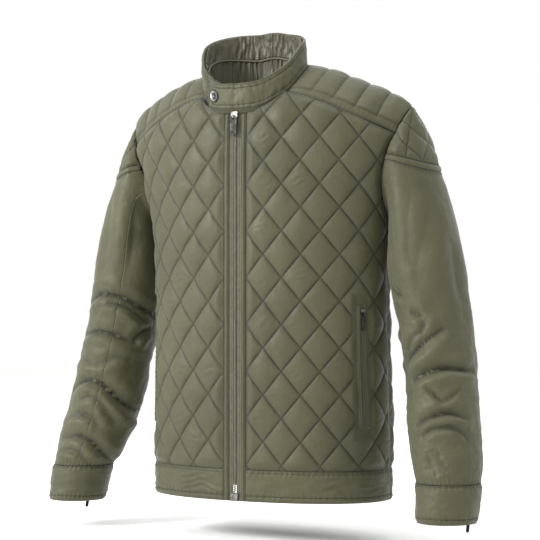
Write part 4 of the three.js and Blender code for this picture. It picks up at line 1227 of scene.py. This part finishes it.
def build_cuff(name, sign, seed):
    """The cuff all round, flat at its edges, with shallow puckers at its seam and hem."""
    turn = np.linspace(0, 2 * math.pi, CUFF_GRID[0], endpoint=False)
    share = np.linspace(0, 1, CUFF_GRID[1])[:, None]
    start = CUFF_SEAM + ROW_CLEAR
    turns, drop, us, at, out = arm_grid(turn, start + (1 - start) * share)
    high, low = (drop - CUFF_SEAM) * DROP_SCALE, (1 - drop) * DROP_SCALE
    hem_off, seam_off = low - CUFF_HEM_ROW, high - CUFF_SEAM_ROW
    lift = 1.4 + 1.5 * smooth(np.minimum(high, low), 0, 7) + 0.9 * wave(at * (1, 1, 1.6), 40, seed)
    lift = lift - 1.3 * bell(hem_off, 1.6) - 1.0 * bell(seam_off, 1.4)
    pucker = ripple(us / 10 + 0.5 * wave(at, 40, seed + 2))
    lift = lift + 0.45 * pucker * (dying(hem_off**2, 40) + dying((high - 3) ** 2, 40))
    zip_off = np.abs(turn_off(turns, math.radians(CUFF_ZIP_TURN))) * TURN_SCALE
    lift = np.where(zip_off < 8, 1.2 + (lift - 1.2) * smooth(zip_off, 3, 8), lift)
    # Painted shade at the cuff's seam and along its two stitch rows
    painted_shade = 0.8 * dying(high, 1.5) + 0.5 * bell(hem_off, 1.0) + 0.4 * bell(seam_off, 1.0)
    dress(f"cuff_{name}", f"cloth_cuff_{name}", wall_between(at, out, lift, lift - WALL, True),
          PLAIN, painted_shade, sign, flat=(0.265, 0.062), held="stretched",
          rests_on=[f"cloth_upper_sleeve_{name}"])


# Collar, with a tab that laps over its other end
TAB_END, COLLAR_END = -43.5, 350.0
TAB_LIFT = COLLAR_WALL + 0.6
COLLAR_ARC = 1.15
COLLAR_FOOT = -0.13
OPEN_MIDDLE, OPEN_REACH = 105.0, 80.0
OPEN_RISE, OPEN_LEAN = 11.0, 11.0
FOOT_MIDDLE, FOOT_REACH, FOOT_SHARE = 82, 88, 0.42
EDGE_ROW, INNER_ROW = 2.2, 7.5
SNAP_TURN, SNAP_HEIGHT = -31.5, 20.5
COLLAR_COLS, COLLAR_ROWS = 340, 34
COVERED_FROM = 200
LAP_END, LAP_REACH = 50, 70
COLLAR_START, COLLAR_DRAW = 1.7, 3


def hump(turn, middle, reach):
    """1 at an angle and 0 from a reach on both sides."""
    share = np.clip((wrap(turn) + middle) / reach, -1, 1)
    return np.cos(share * math.pi / 2) ** 2


def spread(turn):
    """How far the collar stands open at the wearer's right, from 0 to 1."""
    return hump(turn, OPEN_MIDDLE, OPEN_REACH)


def foot_rise(turn):
    """The share of the collar's height at which its lining ends."""
    return FOOT_SHARE * hump(turn, FOOT_MIDDLE, FOOT_REACH)


def upright(rise):
    return np.stack([0 * rise, 0 * rise, rise], axis=-1)


def collar_point(turn, rise, lift):
    turn, rise = np.broadcast_arrays(np.asarray(turn, float), np.asarray(rise, float))
    angle = np.radians(turn)
    way = np.stack([np.sin(angle), -np.cos(angle), np.zeros_like(angle)], axis=-1)
    tall = COLLAR_START + (COLLAR_HEIGHT + OPEN_RISE * spread(turn)) * rise
    lean = (OPEN_LEAN * spread(turn) - COLLAR_DRAW) * rise
    return neck_point(turn) + upright(tall) + way * (np.asarray(lift) + lean)[..., None]


def lap(turn):
    return TAB_LIFT * smooth(LAP_END - np.asarray(turn, float), 0, LAP_REACH)


def tube(path, radius, sides=10):
    """Points and faces of a round cord along points, closed at both ends."""
    path = np.asarray(path, float)
    way = unit(np.gradient(path, axis=0))
    across = unit(np.cross(way, (0.02, 0.03, 1.0)))
    up = np.cross(across, way)
    angle = np.linspace(0, 2 * math.pi, sides, endpoint=False)
    reach = np.cos(angle)[None, :, None] * across[:, None]
    reach = reach + np.sin(angle)[None, :, None] * up[:, None]
    reach = reach * np.broadcast_to(radius, len(path))[:, None, None]
    points = (path[:, None] + reach).reshape(-1, 3)
    faces = grid_faces(len(path), sides, 0, True)
    last = (len(path) - 1) * sides
    faces.append(list(range(sides))[::-1])
    faces.append([last + j for j in range(sides)])
    return points, faces


def build_collar():
    near_end = np.array([0, 0.25, 0.8, 1.7])
    middle = np.linspace(TAB_END + 3, COLLAR_END - 3, COLLAR_COLS)
    turn = np.concatenate([TAB_END + near_end, middle, COLLAR_END - near_end[::-1]])
    rise = np.concatenate([[COLLAR_FOOT, 0, 0.008, 0.025], np.linspace(0.05, 0.95, COLLAR_ROWS),
                           [0.975, 0.992, 1]])
    turns, rises = np.meshgrid(turn, rise)
    high = rises * COLLAR_HEIGHT
    low = COLLAR_HEIGHT - high
    end = np.minimum(turns - TAB_END, COLLAR_END - turns) * COLLAR_ARC
    edge = np.minimum(np.minimum(high, low), end)
    spot = collar_point(turns, rises, 0)
    u = turns * COLLAR_ARC

    # Swelling, stitched grooves, tucks across them and soft dents
    outer = lap(turns) + 1.1 * smooth(edge, 0, 2.6) + 0.9 * smooth(edge, 8, 15)
    outer = outer - 0.75 * bell(edge - INNER_ROW, 1.1) - 0.45 * bell(edge - EDGE_ROW, 0.9)
    outer = outer + 0.42 * ripple(u / 9.5 + 0.7 * wave(spot, 45, 71)) * dying((edge - 8) ** 2, 60)
    outer = outer + 1.0 * wave(spot, 70, 73) * smooth(edge, 3, 12)
    outer = outer + 0.35 * wave(spot, 22, 74) * smooth(edge, 3, 9)
    creases = ripple(u / 30 + 1.2 * wave(spot, 80, 75)) * smooth(high, 2, 14) * smooth(low, 2, 14)
    outer = outer + 0.45 * creases
    snap_off = ((turns - SNAP_TURN) * COLLAR_ARC) ** 2 + (high - SNAP_HEIGHT) ** 2
    outer = outer + (lap(turns) + 0.9 - outer) * dying(snap_off, 150)

    # The foot goes down inside the neck seam, and the covered end is drawn in by the tab
    at_side = bell(np.abs(wrap(turns)) - 80, 40)
    outer = outer + (lap(turns) * 0.3 + 0.3 + 3.4 * at_side - outer) * (rises < 0)
    past_tab = (360 + TAB_END - turns) * COLLAR_ARC
    is_covered = turns > COVERED_FROM
    slit = bell(past_tab - 4 - (rises - 0.4) * 7, 2.2) * bell(rises - 0.62, 0.2) * is_covered
    outer = outer - 1.6 * slit - 2.2 * dying(np.maximum(past_tab, 0), 6) * is_covered
    under = np.minimum(rises, 0)
    drawn_in = upright(under * COLLAR_HEIGHT)
    inner = lap(turns) - COLLAR_WALL - 1.5 * (rises < 0)
    wall = wall_mesh(*(collar_point(turns, rises - under, h) + drawn_in for h in (outer, inner)))

    # Painted shade along the stitch rows, at the foot, at the tab's end, on the covered end beside
    # the tab, in the slit and in two lines past the tab
    painted_shade = 0.55 * bell(edge - INNER_ROW, 0.8) + 0.45 * bell(edge - EDGE_ROW, 0.7)
    painted_shade = painted_shade + 0.7 * dying(np.abs(high), 1.2) + 0.8 * dying(end, 0.6) * (turns < 0)
    painted_shade = painted_shade + 0.95 * dying(np.maximum(past_tab, 0), 3.2) * is_covered + 1.2 * slit
    for line_at in (8, 12.5):
        painted_shade = painted_shade + 0.6 * bell(past_tab - line_at - rises * 3, 1.3) * is_covered
    dress("collar", "cloth_collar", wall, PLAIN, painted_shade, flat=(0.48, 0.041), held="stretched",
          rests_on=["cloth_back"])


def build_neck_lining():
    """The lining inside the collar, drawn up in upright gathers, its cord and what hangs below."""
    turns, rises = np.meshgrid(np.linspace(14, 346, 381), np.linspace(0.05, 0.97, 21))
    rises = rises + (0.97 - rises) * foot_rise(turns)
    spot = collar_point(turns, rises, 0)
    flat = plane(turns * 1.2, rises * 30)
    gathers = ripple(turns * 1.2 / 17 + 1.1 * wave(flat, 60, 81))
    gathers = gathers + 0.5 * ripple(turns * 1.2 / 8 + 0.9 * wave(flat, 50, 87))
    depth = -5.6 + 1.35 * gathers * (0.7 + 0.5 * wave(flat, 40, 82)) + 0.4 * wave(spot, 18, 83)
    depth = np.minimum(depth, -4.1)
    wall = wall_mesh(*(collar_point(turns, rises, h) for h in (depth - 1.0, depth)))
    # Painted shade where the lining's gathers lie nearest the collar
    dress("collar_lining", "cloth_collar_lining", wall, LINING, 0.5 * smooth(depth, -5.2, -3.6),
          flat=(0.40, 0.038), held="gathered", rests_on=["cloth_collar"])
    turn = np.linspace(40, 320, 260)
    path = collar_point(turn, foot_rise(turn), -7.4)
    dress("neck_piping", "neck_cord", tube(path, 1.7 + 0.12 * np.sin(turn * 2.1), 12), PIPING)
    turns, drops = np.meshgrid(np.linspace(62, 298, 381), np.linspace(0, 44, 37))
    spot = plane(turns * 1.25, drops * 0.4)
    folds = 1.3 * ripple(turns / 9.5 + 0.8 * wave(spot, 60, 85))
    folds = folds + 0.45 * ripple(turns / 4.3 + 0.9 * wave(spot, 40, 86))
    top = foot_rise(turns) * np.ones_like(drops)
    depth = -6.4 + folds * (0.35 + 0.65 * dying(drops, 20)) - (0.04 + 0.3 * top) * drops
    down = upright(-drops * (1 + 0.9 * top) - 0.6)
    wall = wall_mesh(*(collar_point(turns, top, h) + down for h in (depth, depth + 1.1)))
    dress("back_lining", "cloth_back_lining", wall, LINING, flat=(0.33, 0.044), held="gathered",
          rests_on=["cloth_collar_lining"])


def turned(profile, count):
    """Points and faces of a round solid from a profile of reach and height on its axis."""
    angle = np.linspace(0, 2 * math.pi, count, endpoint=False)
    rings = [p for p in profile if p[0] > 0]
    points = [[0, 0, profile[0][1]], [0, 0, profile[-1][1]]]
    for reach, height in rings:
        points += [[reach * math.cos(a), reach * math.sin(a), height] for a in angle]
    faces = grid_faces(len(rings), count, 2, True)
    last = 2 + (len(rings) - 1) * count
    for j in range(count):
        k = (j + 1) % count
        faces.append([0, 2 + k, 2 + j])
        faces.append([1, last + j, last + k])
    return np.array(points, float), faces


# The snap by reach and height, and the reach of its bright rim
SNAP = ((0, 0), (9.4, 0), (9.6, 0.6), (9.4, 1.5), (8.7, 2.3), (7.8, 2.6), (6.9, 2.3), (6.2, 1.7),
        (5.6, 1.4), (5.1, 1.5), (4.7, 1.9), (4.0, 2.1), (3.4, 1.8), (2.8, 1.3), (0, 1.2))
SNAP_RIM = (5.5, 7.9)


def build_snap():
    points, faces = turned(SNAP, 56)
    foot = collar_point(SNAP_TURN, 0.5, float(lap(SNAP_TURN)) + 1.4)
    across = unit(collar_point(SNAP_TURN + 2, 0.5, 0) - collar_point(SNAP_TURN - 2, 0.5, 0))
    up = unit(collar_point(SNAP_TURN, 0.6, 0) - collar_point(SNAP_TURN, 0.4, 0))
    out = np.cross(across, up)
    laid = foot + points[:, :1] * across + points[:, 1:2] * up + points[:, 2:] * out
    piece = dress("snap_cap", "snap_button", (laid, faces), SNAP_DARK)
    piece.data.materials.append(SNAP_BRIGHT)
    for polygon in piece.data.polygons:
        reach = [np.hypot(*points[v][:2]) for v in polygon.vertices]
        if min(reach) >= SNAP_RIM[0] and max(reach) <= SNAP_RIM[1]:
            polygon.material_index = 1


# Hem band, with its stitch rows from its hem and from its seam
HEM_ROW, HEM_SEAM_ROW = 8.5, 4


def hem_band(name, low_u, high_u, surface, side, cols, seed, flat):
    """Cloth band along the hem, from one arc length to another at each height."""
    rows = np.concatenate([[HEM_BOTTOM, HEM_BOTTOM + 0.4],
                           np.linspace(HEM_BOTTOM + 1.5, HEM_TOP - 1.2, 32),
                           [HEM_TOP - 0.4, HEM_TOP]])
    t = np.linspace(0, 1, cols)
    vs = np.broadcast_to(rows[:, None], (len(rows), cols))
    us = low_u(vs) + (high_u(vs) - low_u(vs)) * t
    high, low = vs - HEM_BOTTOM, HEM_TOP - vs
    stretched, spot = plane(us, vs * 2.2), plane(us, vs)
    ends = np.minimum(t, 1 - t) * np.abs(us[:, -1:] - us[:, :1])
    lift = 1.7 * smooth(np.minimum(high, low), 0, 4) * smooth(ends, 0, 3) + 0.2
    lift = lift - 1.3 * bell(high - HEM_ROW, 1.5) - 0.8 * bell(low - HEM_SEAM_ROW, 1.3)
    drawn = smooth(wave(spot, 120, seed + 1), -0.1, 0.5)
    level = ripple(vs / 12 + 1.1 * wave(spot, 110, seed)) * drawn + wave(stretched, 60, seed + 2)
    lift = lift + 0.9 * level * smooth(high, 8, 14) * smooth(low, 3, 10)
    pucker = ripple(us / 9 + 0.6 * wave(stretched, 60, seed + 3))
    rows_near = dying((high - 9) ** 2, 30) + dying((low - HEM_SEAM_ROW) ** 2, 26)
    lift = lift + 0.4 * pucker * rows_near
    # Painted shade at the top seam and along the two stitch rows
    painted_shade = 0.75 * dying(low, 1.4) + 0.55 * bell(high - HEM_ROW, 1.0)
    painted_shade = painted_shade + 0.45 * bell(low - HEM_SEAM_ROW, 0.9)
    dress(name, "cloth_" + name, wall_on(surface, side, us, vs, lift, -WALL), PLAIN, painted_shade,
          flat=flat, held="stretched", rests_on=["cloth_back"])


def build_hem():
    hem_band("hem_band_left", lambda z: FRONT_EDGE + 0 * z, lambda z: side_at(z, False),
             front_surface, 1, 180, 91, (0.24, 0.05))
    hem_band("hem_band_right", lambda z: -side_at(z, False), lambda z: -FRONT_EDGE + 0 * z,
             front_surface, 1, 180, 96, (0.24, 0.05))
    hem_band("hem_band_back", lambda z: -side_at(z, True), lambda z: side_at(z, True),
             back_surface, -1, 300, 103, (0.53, 0.05))


# Zips
COIL_HALF, WELT_EDGE = 3.0, 10.5
WELT_HALF, TAPE_HALF, POCKET_WELT_HALF = 4.1, 3.45, 4.0
WELT_MIDDLE, TAPE_MIDDLE, POCKET_WELT_MIDDLE = WELT_EDGE + WELT_HALF, COIL_HALF + 3.75, 5.6
ZIP_TOP = float(neck_point(0)[2]) - 1.5
BOX_TOP = HEM_BOTTOM + 13
TOOTH_PITCH = 1.45
LEAST_WIDTH = 0.0101


def strip(name, node, middle, half, heights, outer, inner, material, flat, rests_on):
    """A long strip of cloth on the front of the body, from its middle arc and half width."""
    share = np.linspace(-1, 1, 13)
    vs = np.broadcast_to(heights[:, None], (len(heights), len(share)))
    us = middle(vs) + half * share
    ends = np.minimum(vs - heights[0], heights[-1] - vs)
    lift = outer(share * half, plane(us, vs), ends)
    # Painted shade along the two stitched grooves
    painted_shade = 0.6 * bell((np.abs(share) - 0.52) * half, 0.6) + 0 * vs
    wide, long = flat
    dress(node, name, wall_on(front_surface, 1, us, vs, lift, inner), material, painted_shade,
          flat=(max(wide, LEAST_WIDTH), long), held="stretched", rests_on=[rests_on],
          area=wide * long)


def placket(off, spot, ends):
    """A folded strip's height: rounded at its edges, a stitched groove, puckers along it."""
    pucker = ripple(spot[..., 1] / 8 + 0.5 * wave(spot, 40, 111))
    lift = 0.5 + 1.5 * smooth(WELT_HALF - np.abs(off), 0, 2) - 0.7 * bell(np.abs(off) - 2.3, 0.7)
    return (lift + 0.22 * pucker + 0.5 * wave(spot, 70, 113)) * smooth(ends, 0, 3) + 0.1


def tape(off, spot, ends):
    return -0.7 + 0.45 * np.cos(2 * np.pi * off / 3.2)


def welt(off, spot, ends):
    pucker = ripple(spot[..., 1] / 8.5 + 0.5 * wave(spot, 40, 121))
    edge = POCKET_WELT_HALF - np.abs(off)
    lift = 0.9 + 1.7 * smooth(edge, 0, 1.8) - 0.6 * bell(np.abs(off) - 1.9, 0.7)
    return (lift + 0.25 * pucker + 0.4 * wave(spot, 60, 123)) * smooth(ends, 0, 3) + 0.4


def teeth(middle, heights, rise, half, surface_lift):
    """The coil of a closed zip: slanted teeth from both sides that meet in the middle."""
    points, faces = [], []
    at = front_surface(middle(heights), heights)
    n = normals(front_surface, middle(heights), heights)
    across = unit(front_surface(middle(heights) + 1, heights) - at)
    up = np.cross(n, across)
    shape = ((0.0, 0.0), (0.0, 0.75), (0.35, 1.0), (0.8, 0.9), (1.0, 0.1))
    for i in range(len(heights)):
        sign = 1 if i % 2 else -1
        start = len(points)
        for wide, high in shape:
            out = 0.18 * half + (wide - 0.25) * half * 1.05
            for thick in (-0.62, 0.62):
                spot = at[i] + across[i] * out * sign + up[i] * (thick + 0.9 * wide)
                points.append(spot + n[i] * (surface_lift + rise * high))
        count = len(shape)
        for k in range(count - 1):
            a = start + 2 * k
            faces.append([a, a + 1, a + 3, a + 2])
        faces.append([start + 2 * k for k in range(count)][::-1])
        faces.append([start + 2 * k + 1 for k in range(count)])
        faces.append([start, start + 2 * count - 2, start + 2 * count - 1, start + 1])
    return np.array(points), faces


def coil(node, name, middle, heights, rise, half, lift, core, core_lift, radius, sides):
    """The teeth of a closed zip and the cord that they grip."""
    run = front_surface(middle(core), core)
    run = run + normals(front_surface, middle(core), core) * core_lift
    shape = joined([teeth(middle, heights, rise, half, lift), tube(run, radius, sides)])
    dress(node, name, shape, COIL, is_smooth=False)


def build_zips():
    fine = np.arange(HEM_BOTTOM, ZIP_TOP, 2.4)
    for name, sign in SIDES:
        strip(f"cloth_zip_welt_{name}", f"zip_welt_{name}",
              lambda z, s=sign: s * WELT_MIDDLE + 0 * z, WELT_HALF, fine, placket, -WALL, PLAIN,
              (0.0082, 0.59), "cloth_collar")
        strip(f"zip_tape_woven_{name}", f"zip_tape_{name}",
              lambda z, s=sign: s * TAPE_MIDDLE + 0 * z, TAPE_HALF, fine, tape, -1.6, TAPE,
              (0.0072, 0.59), f"cloth_zip_welt_{name}")
    coil("zip_coil", "zip_teeth", lambda z: 0 * z, np.arange(BOX_TOP + 0.8, -96, TOOTH_PITCH),
         1.2, COIL_HALF, -0.5, np.linspace(BOX_TOP + 0.4, ZIP_TOP, 120), -0.7, 1.0, 8)


def build_pockets():
    fine = np.arange(POCKET_BOTTOM, POCKET_TOP, 2.2)
    teeth_at = np.arange(POCKET_BOTTOM + 2, POCKET_TOP - 14, TOOTH_PITCH)
    core = np.linspace(POCKET_BOTTOM + 1, POCKET_TOP - 4, 60)
    for name, sign in SIDES:
        for part, off in (("front", -POCKET_WELT_MIDDLE), ("side", POCKET_WELT_MIDDLE)):
            strip(f"cloth_pocket_welt_{part}_{name}", f"pocket_welt_{part}_{name}",
                  lambda z, s=sign, o=off: s * (pocket_line(z) + o), POCKET_WELT_HALF, fine, welt,
                  SEAM_GAP, PLAIN, (0.008, 0.19), f"cloth_front_{name}")
        coil(f"pocket_coil_{name}", f"pocket_teeth_{name}", lambda z, s=sign: s * pocket_line(z),
             teeth_at, 0.9, 1.3, 0.5, core, 0.6, 0.5, 6)


def build_cuff_coils():
    """The cuff's coil, a row of short bars that lies on the cuff between two folds."""
    drop = np.linspace(0.916, 0.982, 30)
    u = np.full_like(drop, math.radians(CUFF_ZIP_TURN) * TURN_SCALE)
    v = -drop * DROP_SCALE
    at, out = sleeve_plain(u, v), normals(sleeve_plain, u, v, -1)
    across = unit(sleeve_plain(u + 1, v) - at)
    shapes = [tube(at + out * 2.3, 0.6, 8)]
    for spot, n, way in zip(at, out, across):
        for end in (-way, way):
            bar = [spot + n * 2.3, spot + n * 2.9 + end, spot + n * 2.2 + end * 1.8]
            shapes.append(tube(bar, 0.5, 5))
    for name, sign in SIDES:
        dress(f"cuff_coil_{name}", f"cuff_teeth_{name}", joined(shapes), COIL, None, sign, False)


# Stitching
def stitch_mesh(at, along, out, length, half, rise):
    """Small wedges, one for each stitch, that lie along a seam and stand proud of the cloth."""
    side = np.cross(out, along)
    ends = ((-0.5, -1, 0), (-0.5, 1, 0), (0.5, 1, 0), (0.5, -1, 0), (-0.3, 0, 1), (0.3, 0, 1))
    points = [at + along * (a * length) + side * (b * half) + out * (c * rise) for a, b, c in ends]
    points = np.stack(points, axis=1).reshape(-1, 3)
    shape = ((0, 1, 4), (2, 3, 5), (1, 2, 5, 4), (3, 0, 4, 5), (3, 2, 1, 0))
    faces = [[6 * i + k for k in f] for i in range(len(at)) for f in shape]
    return points, faces


# Length, half width and rise of a stitch
STITCH = (2.3, 0.42, 0.5)
QUILT_STITCH = (2.4, 0.36, 0.42)
STITCH_PITCH, QUILT_STITCH_PITCH = 3.3, 3.4
QUILT_LINES, CLEAR_OF_EDGE, FULL_ENOUGH = 14, 2.5, 0.6


class Stitching:
    """Collects the stitches of one part, to be made as one mesh."""

    def __init__(self):
        self.shapes = []

    def add(self, at, along, out, size):
        self.shapes.append(stitch_mesh(at, along, out, *size))

    def run(self, surface, side, us, vs, lift):
        """A row of stitches along a path in a surface's own coordinates."""
        us, vs = np.broadcast_arrays(us, vs)
        path = surface(us, vs)
        run = np.concatenate([[0], np.cumsum(np.linalg.norm(np.diff(path, axis=0), axis=1))])
        at = np.arange(STITCH_PITCH / 2, run[-1], STITCH_PITCH)
        u, v = np.interp(at, run, us), np.interp(at, run, vs)
        out = normals(surface, u, v, side)
        height = lift(u) if callable(lift) else lift
        spot = surface(u, v) + out * np.broadcast_to(height, u.shape)[:, None]
        self.add(spot, unit(np.gradient(spot, axis=0)), out, STITCH)

    def finish(self, name, sign=1):
        points, faces = joined(self.shapes)
        points = points if sign > 0 else mirror_points(points)
        mesh_piece(name, points, faces, THREAD, is_smooth=False)


def is_inside(outline, u, z):
    found = np.zeros(np.shape(u), bool)
    for (ax, az), (bx, bz) in zip(outline, outline[1:] + outline[:1]):
        if az == bz:
            continue
        crosses = (az > z) != (bz > z)
        found ^= crosses & (u < (bx - ax) * (z - az) / (bz - az) + ax)
    return found


def stitch_quilting(name, outline, origin, surface, side, flatten):
    """A stitch every few millimetres along both families of the quilting's lines."""
    low, high = np.min(outline, axis=0), np.max(outline, axis=0)
    step = QUILT_STITCH_PITCH * QUILT_HEIGHT / math.hypot(QUILT_WIDTH, QUILT_HEIGHT)
    z = np.arange(low[1], high[1], step)
    stitches = Stitching()
    for slope in (-1, 1):
        across = slope * QUILT_WIDTH / QUILT_HEIGHT
        for k in range(-QUILT_LINES, QUILT_LINES + 1):
            u = origin + QUILT_WIDTH * (k + slope * (z - QUILT_TOP_ROW) / QUILT_HEIGHT)
            keep = is_inside(outline, u, z) & (u > low[0]) & (u < high[0])
            keep[keep] &= outline_distance(outline, u[keep], z[keep]) > CLEAR_OF_EDGE
            keep &= flatten(u, z) > FULL_ENOUGH
            if not keep.any():
                continue
            us, vs = u[keep], z[keep]
            way = unit(surface(us + across, vs + 1) - surface(us - across, vs - 1))
            out = normals(surface, us, vs, side)
            stitches.add(surface(us, vs) + out * 0.1, way, out, QUILT_STITCH)
    stitches.finish(f"stitches_{name}")


def collar_surface(u, v):
    return collar_point(u / COLLAR_ARC, v / COLLAR_HEIGHT, 0)


def stitch_yoke(name, sign):
    rows = Stitching()
    along = np.linspace(0.02, 0.975, 200) * YOKE_LONG
    for off in (2.2, 9.5):
        for end in (-1, 1):
            rows.run(yoke_surface, -1, along, end * (YOKE_WIDE - off), 0.35)
    line = np.linspace(-YOKE_WIDE + 10, YOKE_WIDE - 10, 60)
    for k in range(1, YOKE_RIBS):
        rows.run(yoke_surface, -1, k * YOKE_LONG * 0.988 / YOKE_RIBS, line, 0.1)
    rows.finish(f"stitches_yoke_{name}", sign)


def stitch_sleeve(name, sign):
    rows = Stitching()
    turn = np.linspace(-CAP_END + 0.03, CAP_END - 0.03, 200)
    for line, push in ((band_top(turn), -0.004), (band_foot(turn), 0.007)):
        rows.run(sleeve_plain, -1, turn * TURN_SCALE, -(line + push) * DROP_SCALE, 0.9)
    turn = np.linspace(0, 2 * math.pi, 300)
    for low, lift in ((CUFF_HEM_ROW, 1.75), (56.5, 2.0)):
        rows.run(sleeve_plain, -1, turn * TURN_SCALE, -DROP_SCALE + low, lift)
    rows.finish(f"stitches_sleeve_{name}", sign)


def stitch_collar():
    rows = Stitching()
    turn = np.linspace(TAB_END + 7, COLLAR_END - 4, 700)
    row_lifts = ((EDGE_ROW, 1.05), (INNER_ROW, 0.8))
    for off, lift in row_lifts:
        for v in (off, COLLAR_HEIGHT - off):
            rows.run(collar_surface, 1, turn * COLLAR_ARC, v,
                     lambda u, h=lift: lap(u / COLLAR_ARC) + h)
    v = np.linspace(INNER_ROW, COLLAR_HEIGHT - INNER_ROW, 30)
    for off, lift in row_lifts:
        rows.run(collar_surface, 1, TAB_END * COLLAR_ARC + off, v,
                 lambda u, h=lift: lap(u / COLLAR_ARC) + h)
    rows.finish("stitches_collar")


def stitch_body():
    """The rows beside the zip and the pockets, and round the hem."""
    rows = Stitching()
    z = np.linspace(HEM_BOTTOM + 2, ZIP_TOP - 2, 200)
    for end in (-1, 1):
        for off in (-2.2, 2.2):
            rows.run(front_surface, 1, end * (WELT_MIDDLE + off), z, 1.35)
    z = np.linspace(POCKET_BOTTOM + 3, POCKET_TOP - 3, 80)
    for end in (-1, 1):
        for off in (-7.6, -3.6, 3.6, 7.6):
            rows.run(front_surface, 1, end * (pocket_line(z) + off), z, 2.2)
    t = np.linspace(0, 1, 200)
    for high, lift in ((HEM_ROW, 0.75), (HEM_TOP - HEM_BOTTOM - HEM_SEAM_ROW, 1.1)):
        z = np.full(200, HEM_BOTTOM + high)
        start, reach = FRONT_EDGE + 2, side_arc(z) + SIDE_SHIFT - 2
        for end in (-1, 1):
            rows.run(front_surface, 1, end * (start + (reach - start) * t), z, lift)
        reach = whole_arc(z) - side_arc(z) - SIDE_SHIFT - 2
        rows.run(back_surface, -1, reach * (2 * t - 1), z, lift)
    rows.finish("stitches_body")


# Build
build_body()
build_yokes()
build_sleeve("left", 1, LEFT_FOLDS, LEFT_FULLNESS, 301)
build_sleeve("right", -1, RIGHT_FOLDS, RIGHT_FULLNESS, 401)
for (side_name, side_sign), first_seed in zip(SIDES, (501, 601)):
    build_cap(side_name, side_sign, first_seed)
    build_band(side_name, side_sign)
    build_cuff(side_name, side_sign, first_seed + 20)
build_hem()
build_collar()
build_neck_lining()
build_snap()
build_zips()
build_pockets()
build_cuff_coils()
for quilted in quilted_panels():
    stitch_quilting(*quilted)
for side_name, side_sign in SIDES:
    stitch_yoke(side_name, side_sign)
    stitch_sleeve(side_name, side_sign)
stitch_collar()
stitch_body()

# Carried-over metal nodes
BEVEL_WIDTH, BEVEL_STEPS = 0.0003, 2
for node_name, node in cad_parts.items():
    if "slider" in node_name or node_name == "zip_box":
        chosen = SLIDER_METAL
    elif "pull" in node_name:
        chosen = PULL_METAL
    else:
        continue
    for material_slot in node.material_slots:
        material_slot.material = chosen
    bevel = node.modifiers.new("rounded", "BEVEL")
    bevel.width, bevel.segments = BEVEL_WIDTH, BEVEL_STEPS
    bevel.limit_method = "ANGLE"


# Floor, light and camera
FLOOR_HEIGHT, FLOOR_REACH = -0.735, 6


def build_floor():
    mesh = bpy.data.meshes.new("floor")
    corners = ((-1, -1), (1, -1), (1, 1), (-1, 1))
    points = [(x * FLOOR_REACH, y * FLOOR_REACH, FLOOR_HEIGHT) for x, y in corners]
    mesh.from_pydata(points, [], [(0, 1, 2, 3)])
    floor = new_object("floor", mesh)
    n = Nodes("pale_floor")
    tone = n.ramp(n.noise(3), [(0.3, (0.965, 0.965, 0.96)), (0.7, (0.98, 0.98, 0.975))])
    normal = n.bump(n.noise(60, 3), 0.05, 0.001)
    mesh.materials.append(n.finish(tone, n.range(n.noise(8), 0.7, 0.8), normal))


def area_light(name, place, size, power):
    data = bpy.data.lights.new(name, "AREA")
    data.shape = "RECTANGLE"
    data.size, data.size_y = size
    data.energy = power
    face(new_object(name, data), place, MIDDLE)


# The camera's lens, its angle round the jacket and its distance
LENS, SENSOR, CAMERA_FAR = 116.0, 36.0, 2.75
CAMERA_TURN = math.radians(29)
TOWARDS = np.array([math.sin(CAMERA_TURN), -math.cos(CAMERA_TURN)])
RIGHTWARDS = np.array([math.cos(CAMERA_TURN), math.sin(CAMERA_TURN)])
MIDDLE = (0.0, 0.0, -0.33)


def around(right, forward, height):
    """A place by metres to the camera's right, metres towards the camera and height."""
    x, y = RIGHTWARDS * right + TOWARDS * forward
    return (float(x), float(y), height)


def face(thing, place, aim):
    thing.location = place
    thing.rotation_euler = (Vector(aim) - Vector(place)).to_track_quat("-Z", "Y").to_euler()


build_floor()
area_light("key", around(-2.2, 1.0, 0.8), (0.8, 0.9), 92)
area_light("fill", around(2.0, 1.6, 0.2), (1.4, 1.4), 9)
area_light("top", around(0.1, 0.3, 1.9), (1.3, 1.0), 22)
area_light("back", around(0.3, -1.9, 0.8), (1.6, 1.0), 14)
world = bpy.data.worlds.new("studio")
bpy.context.scene.world = world
world.use_nodes = True
background = world.node_tree.nodes["Background"]
background.inputs["Color"].default_value = (1, 1, 1, 1)
background.inputs["Strength"].default_value = 1.0
bpy.context.scene.view_settings.view_transform = "Standard"

camera_data = bpy.data.cameras.new("camera")
camera_data.lens, camera_data.sensor_width = LENS, SENSOR
camera = new_object("camera", camera_data)
face(camera, around(0, CAMERA_FAR, -0.376), around(0.003, 0, -0.319))
bpy.context.scene.camera = camera
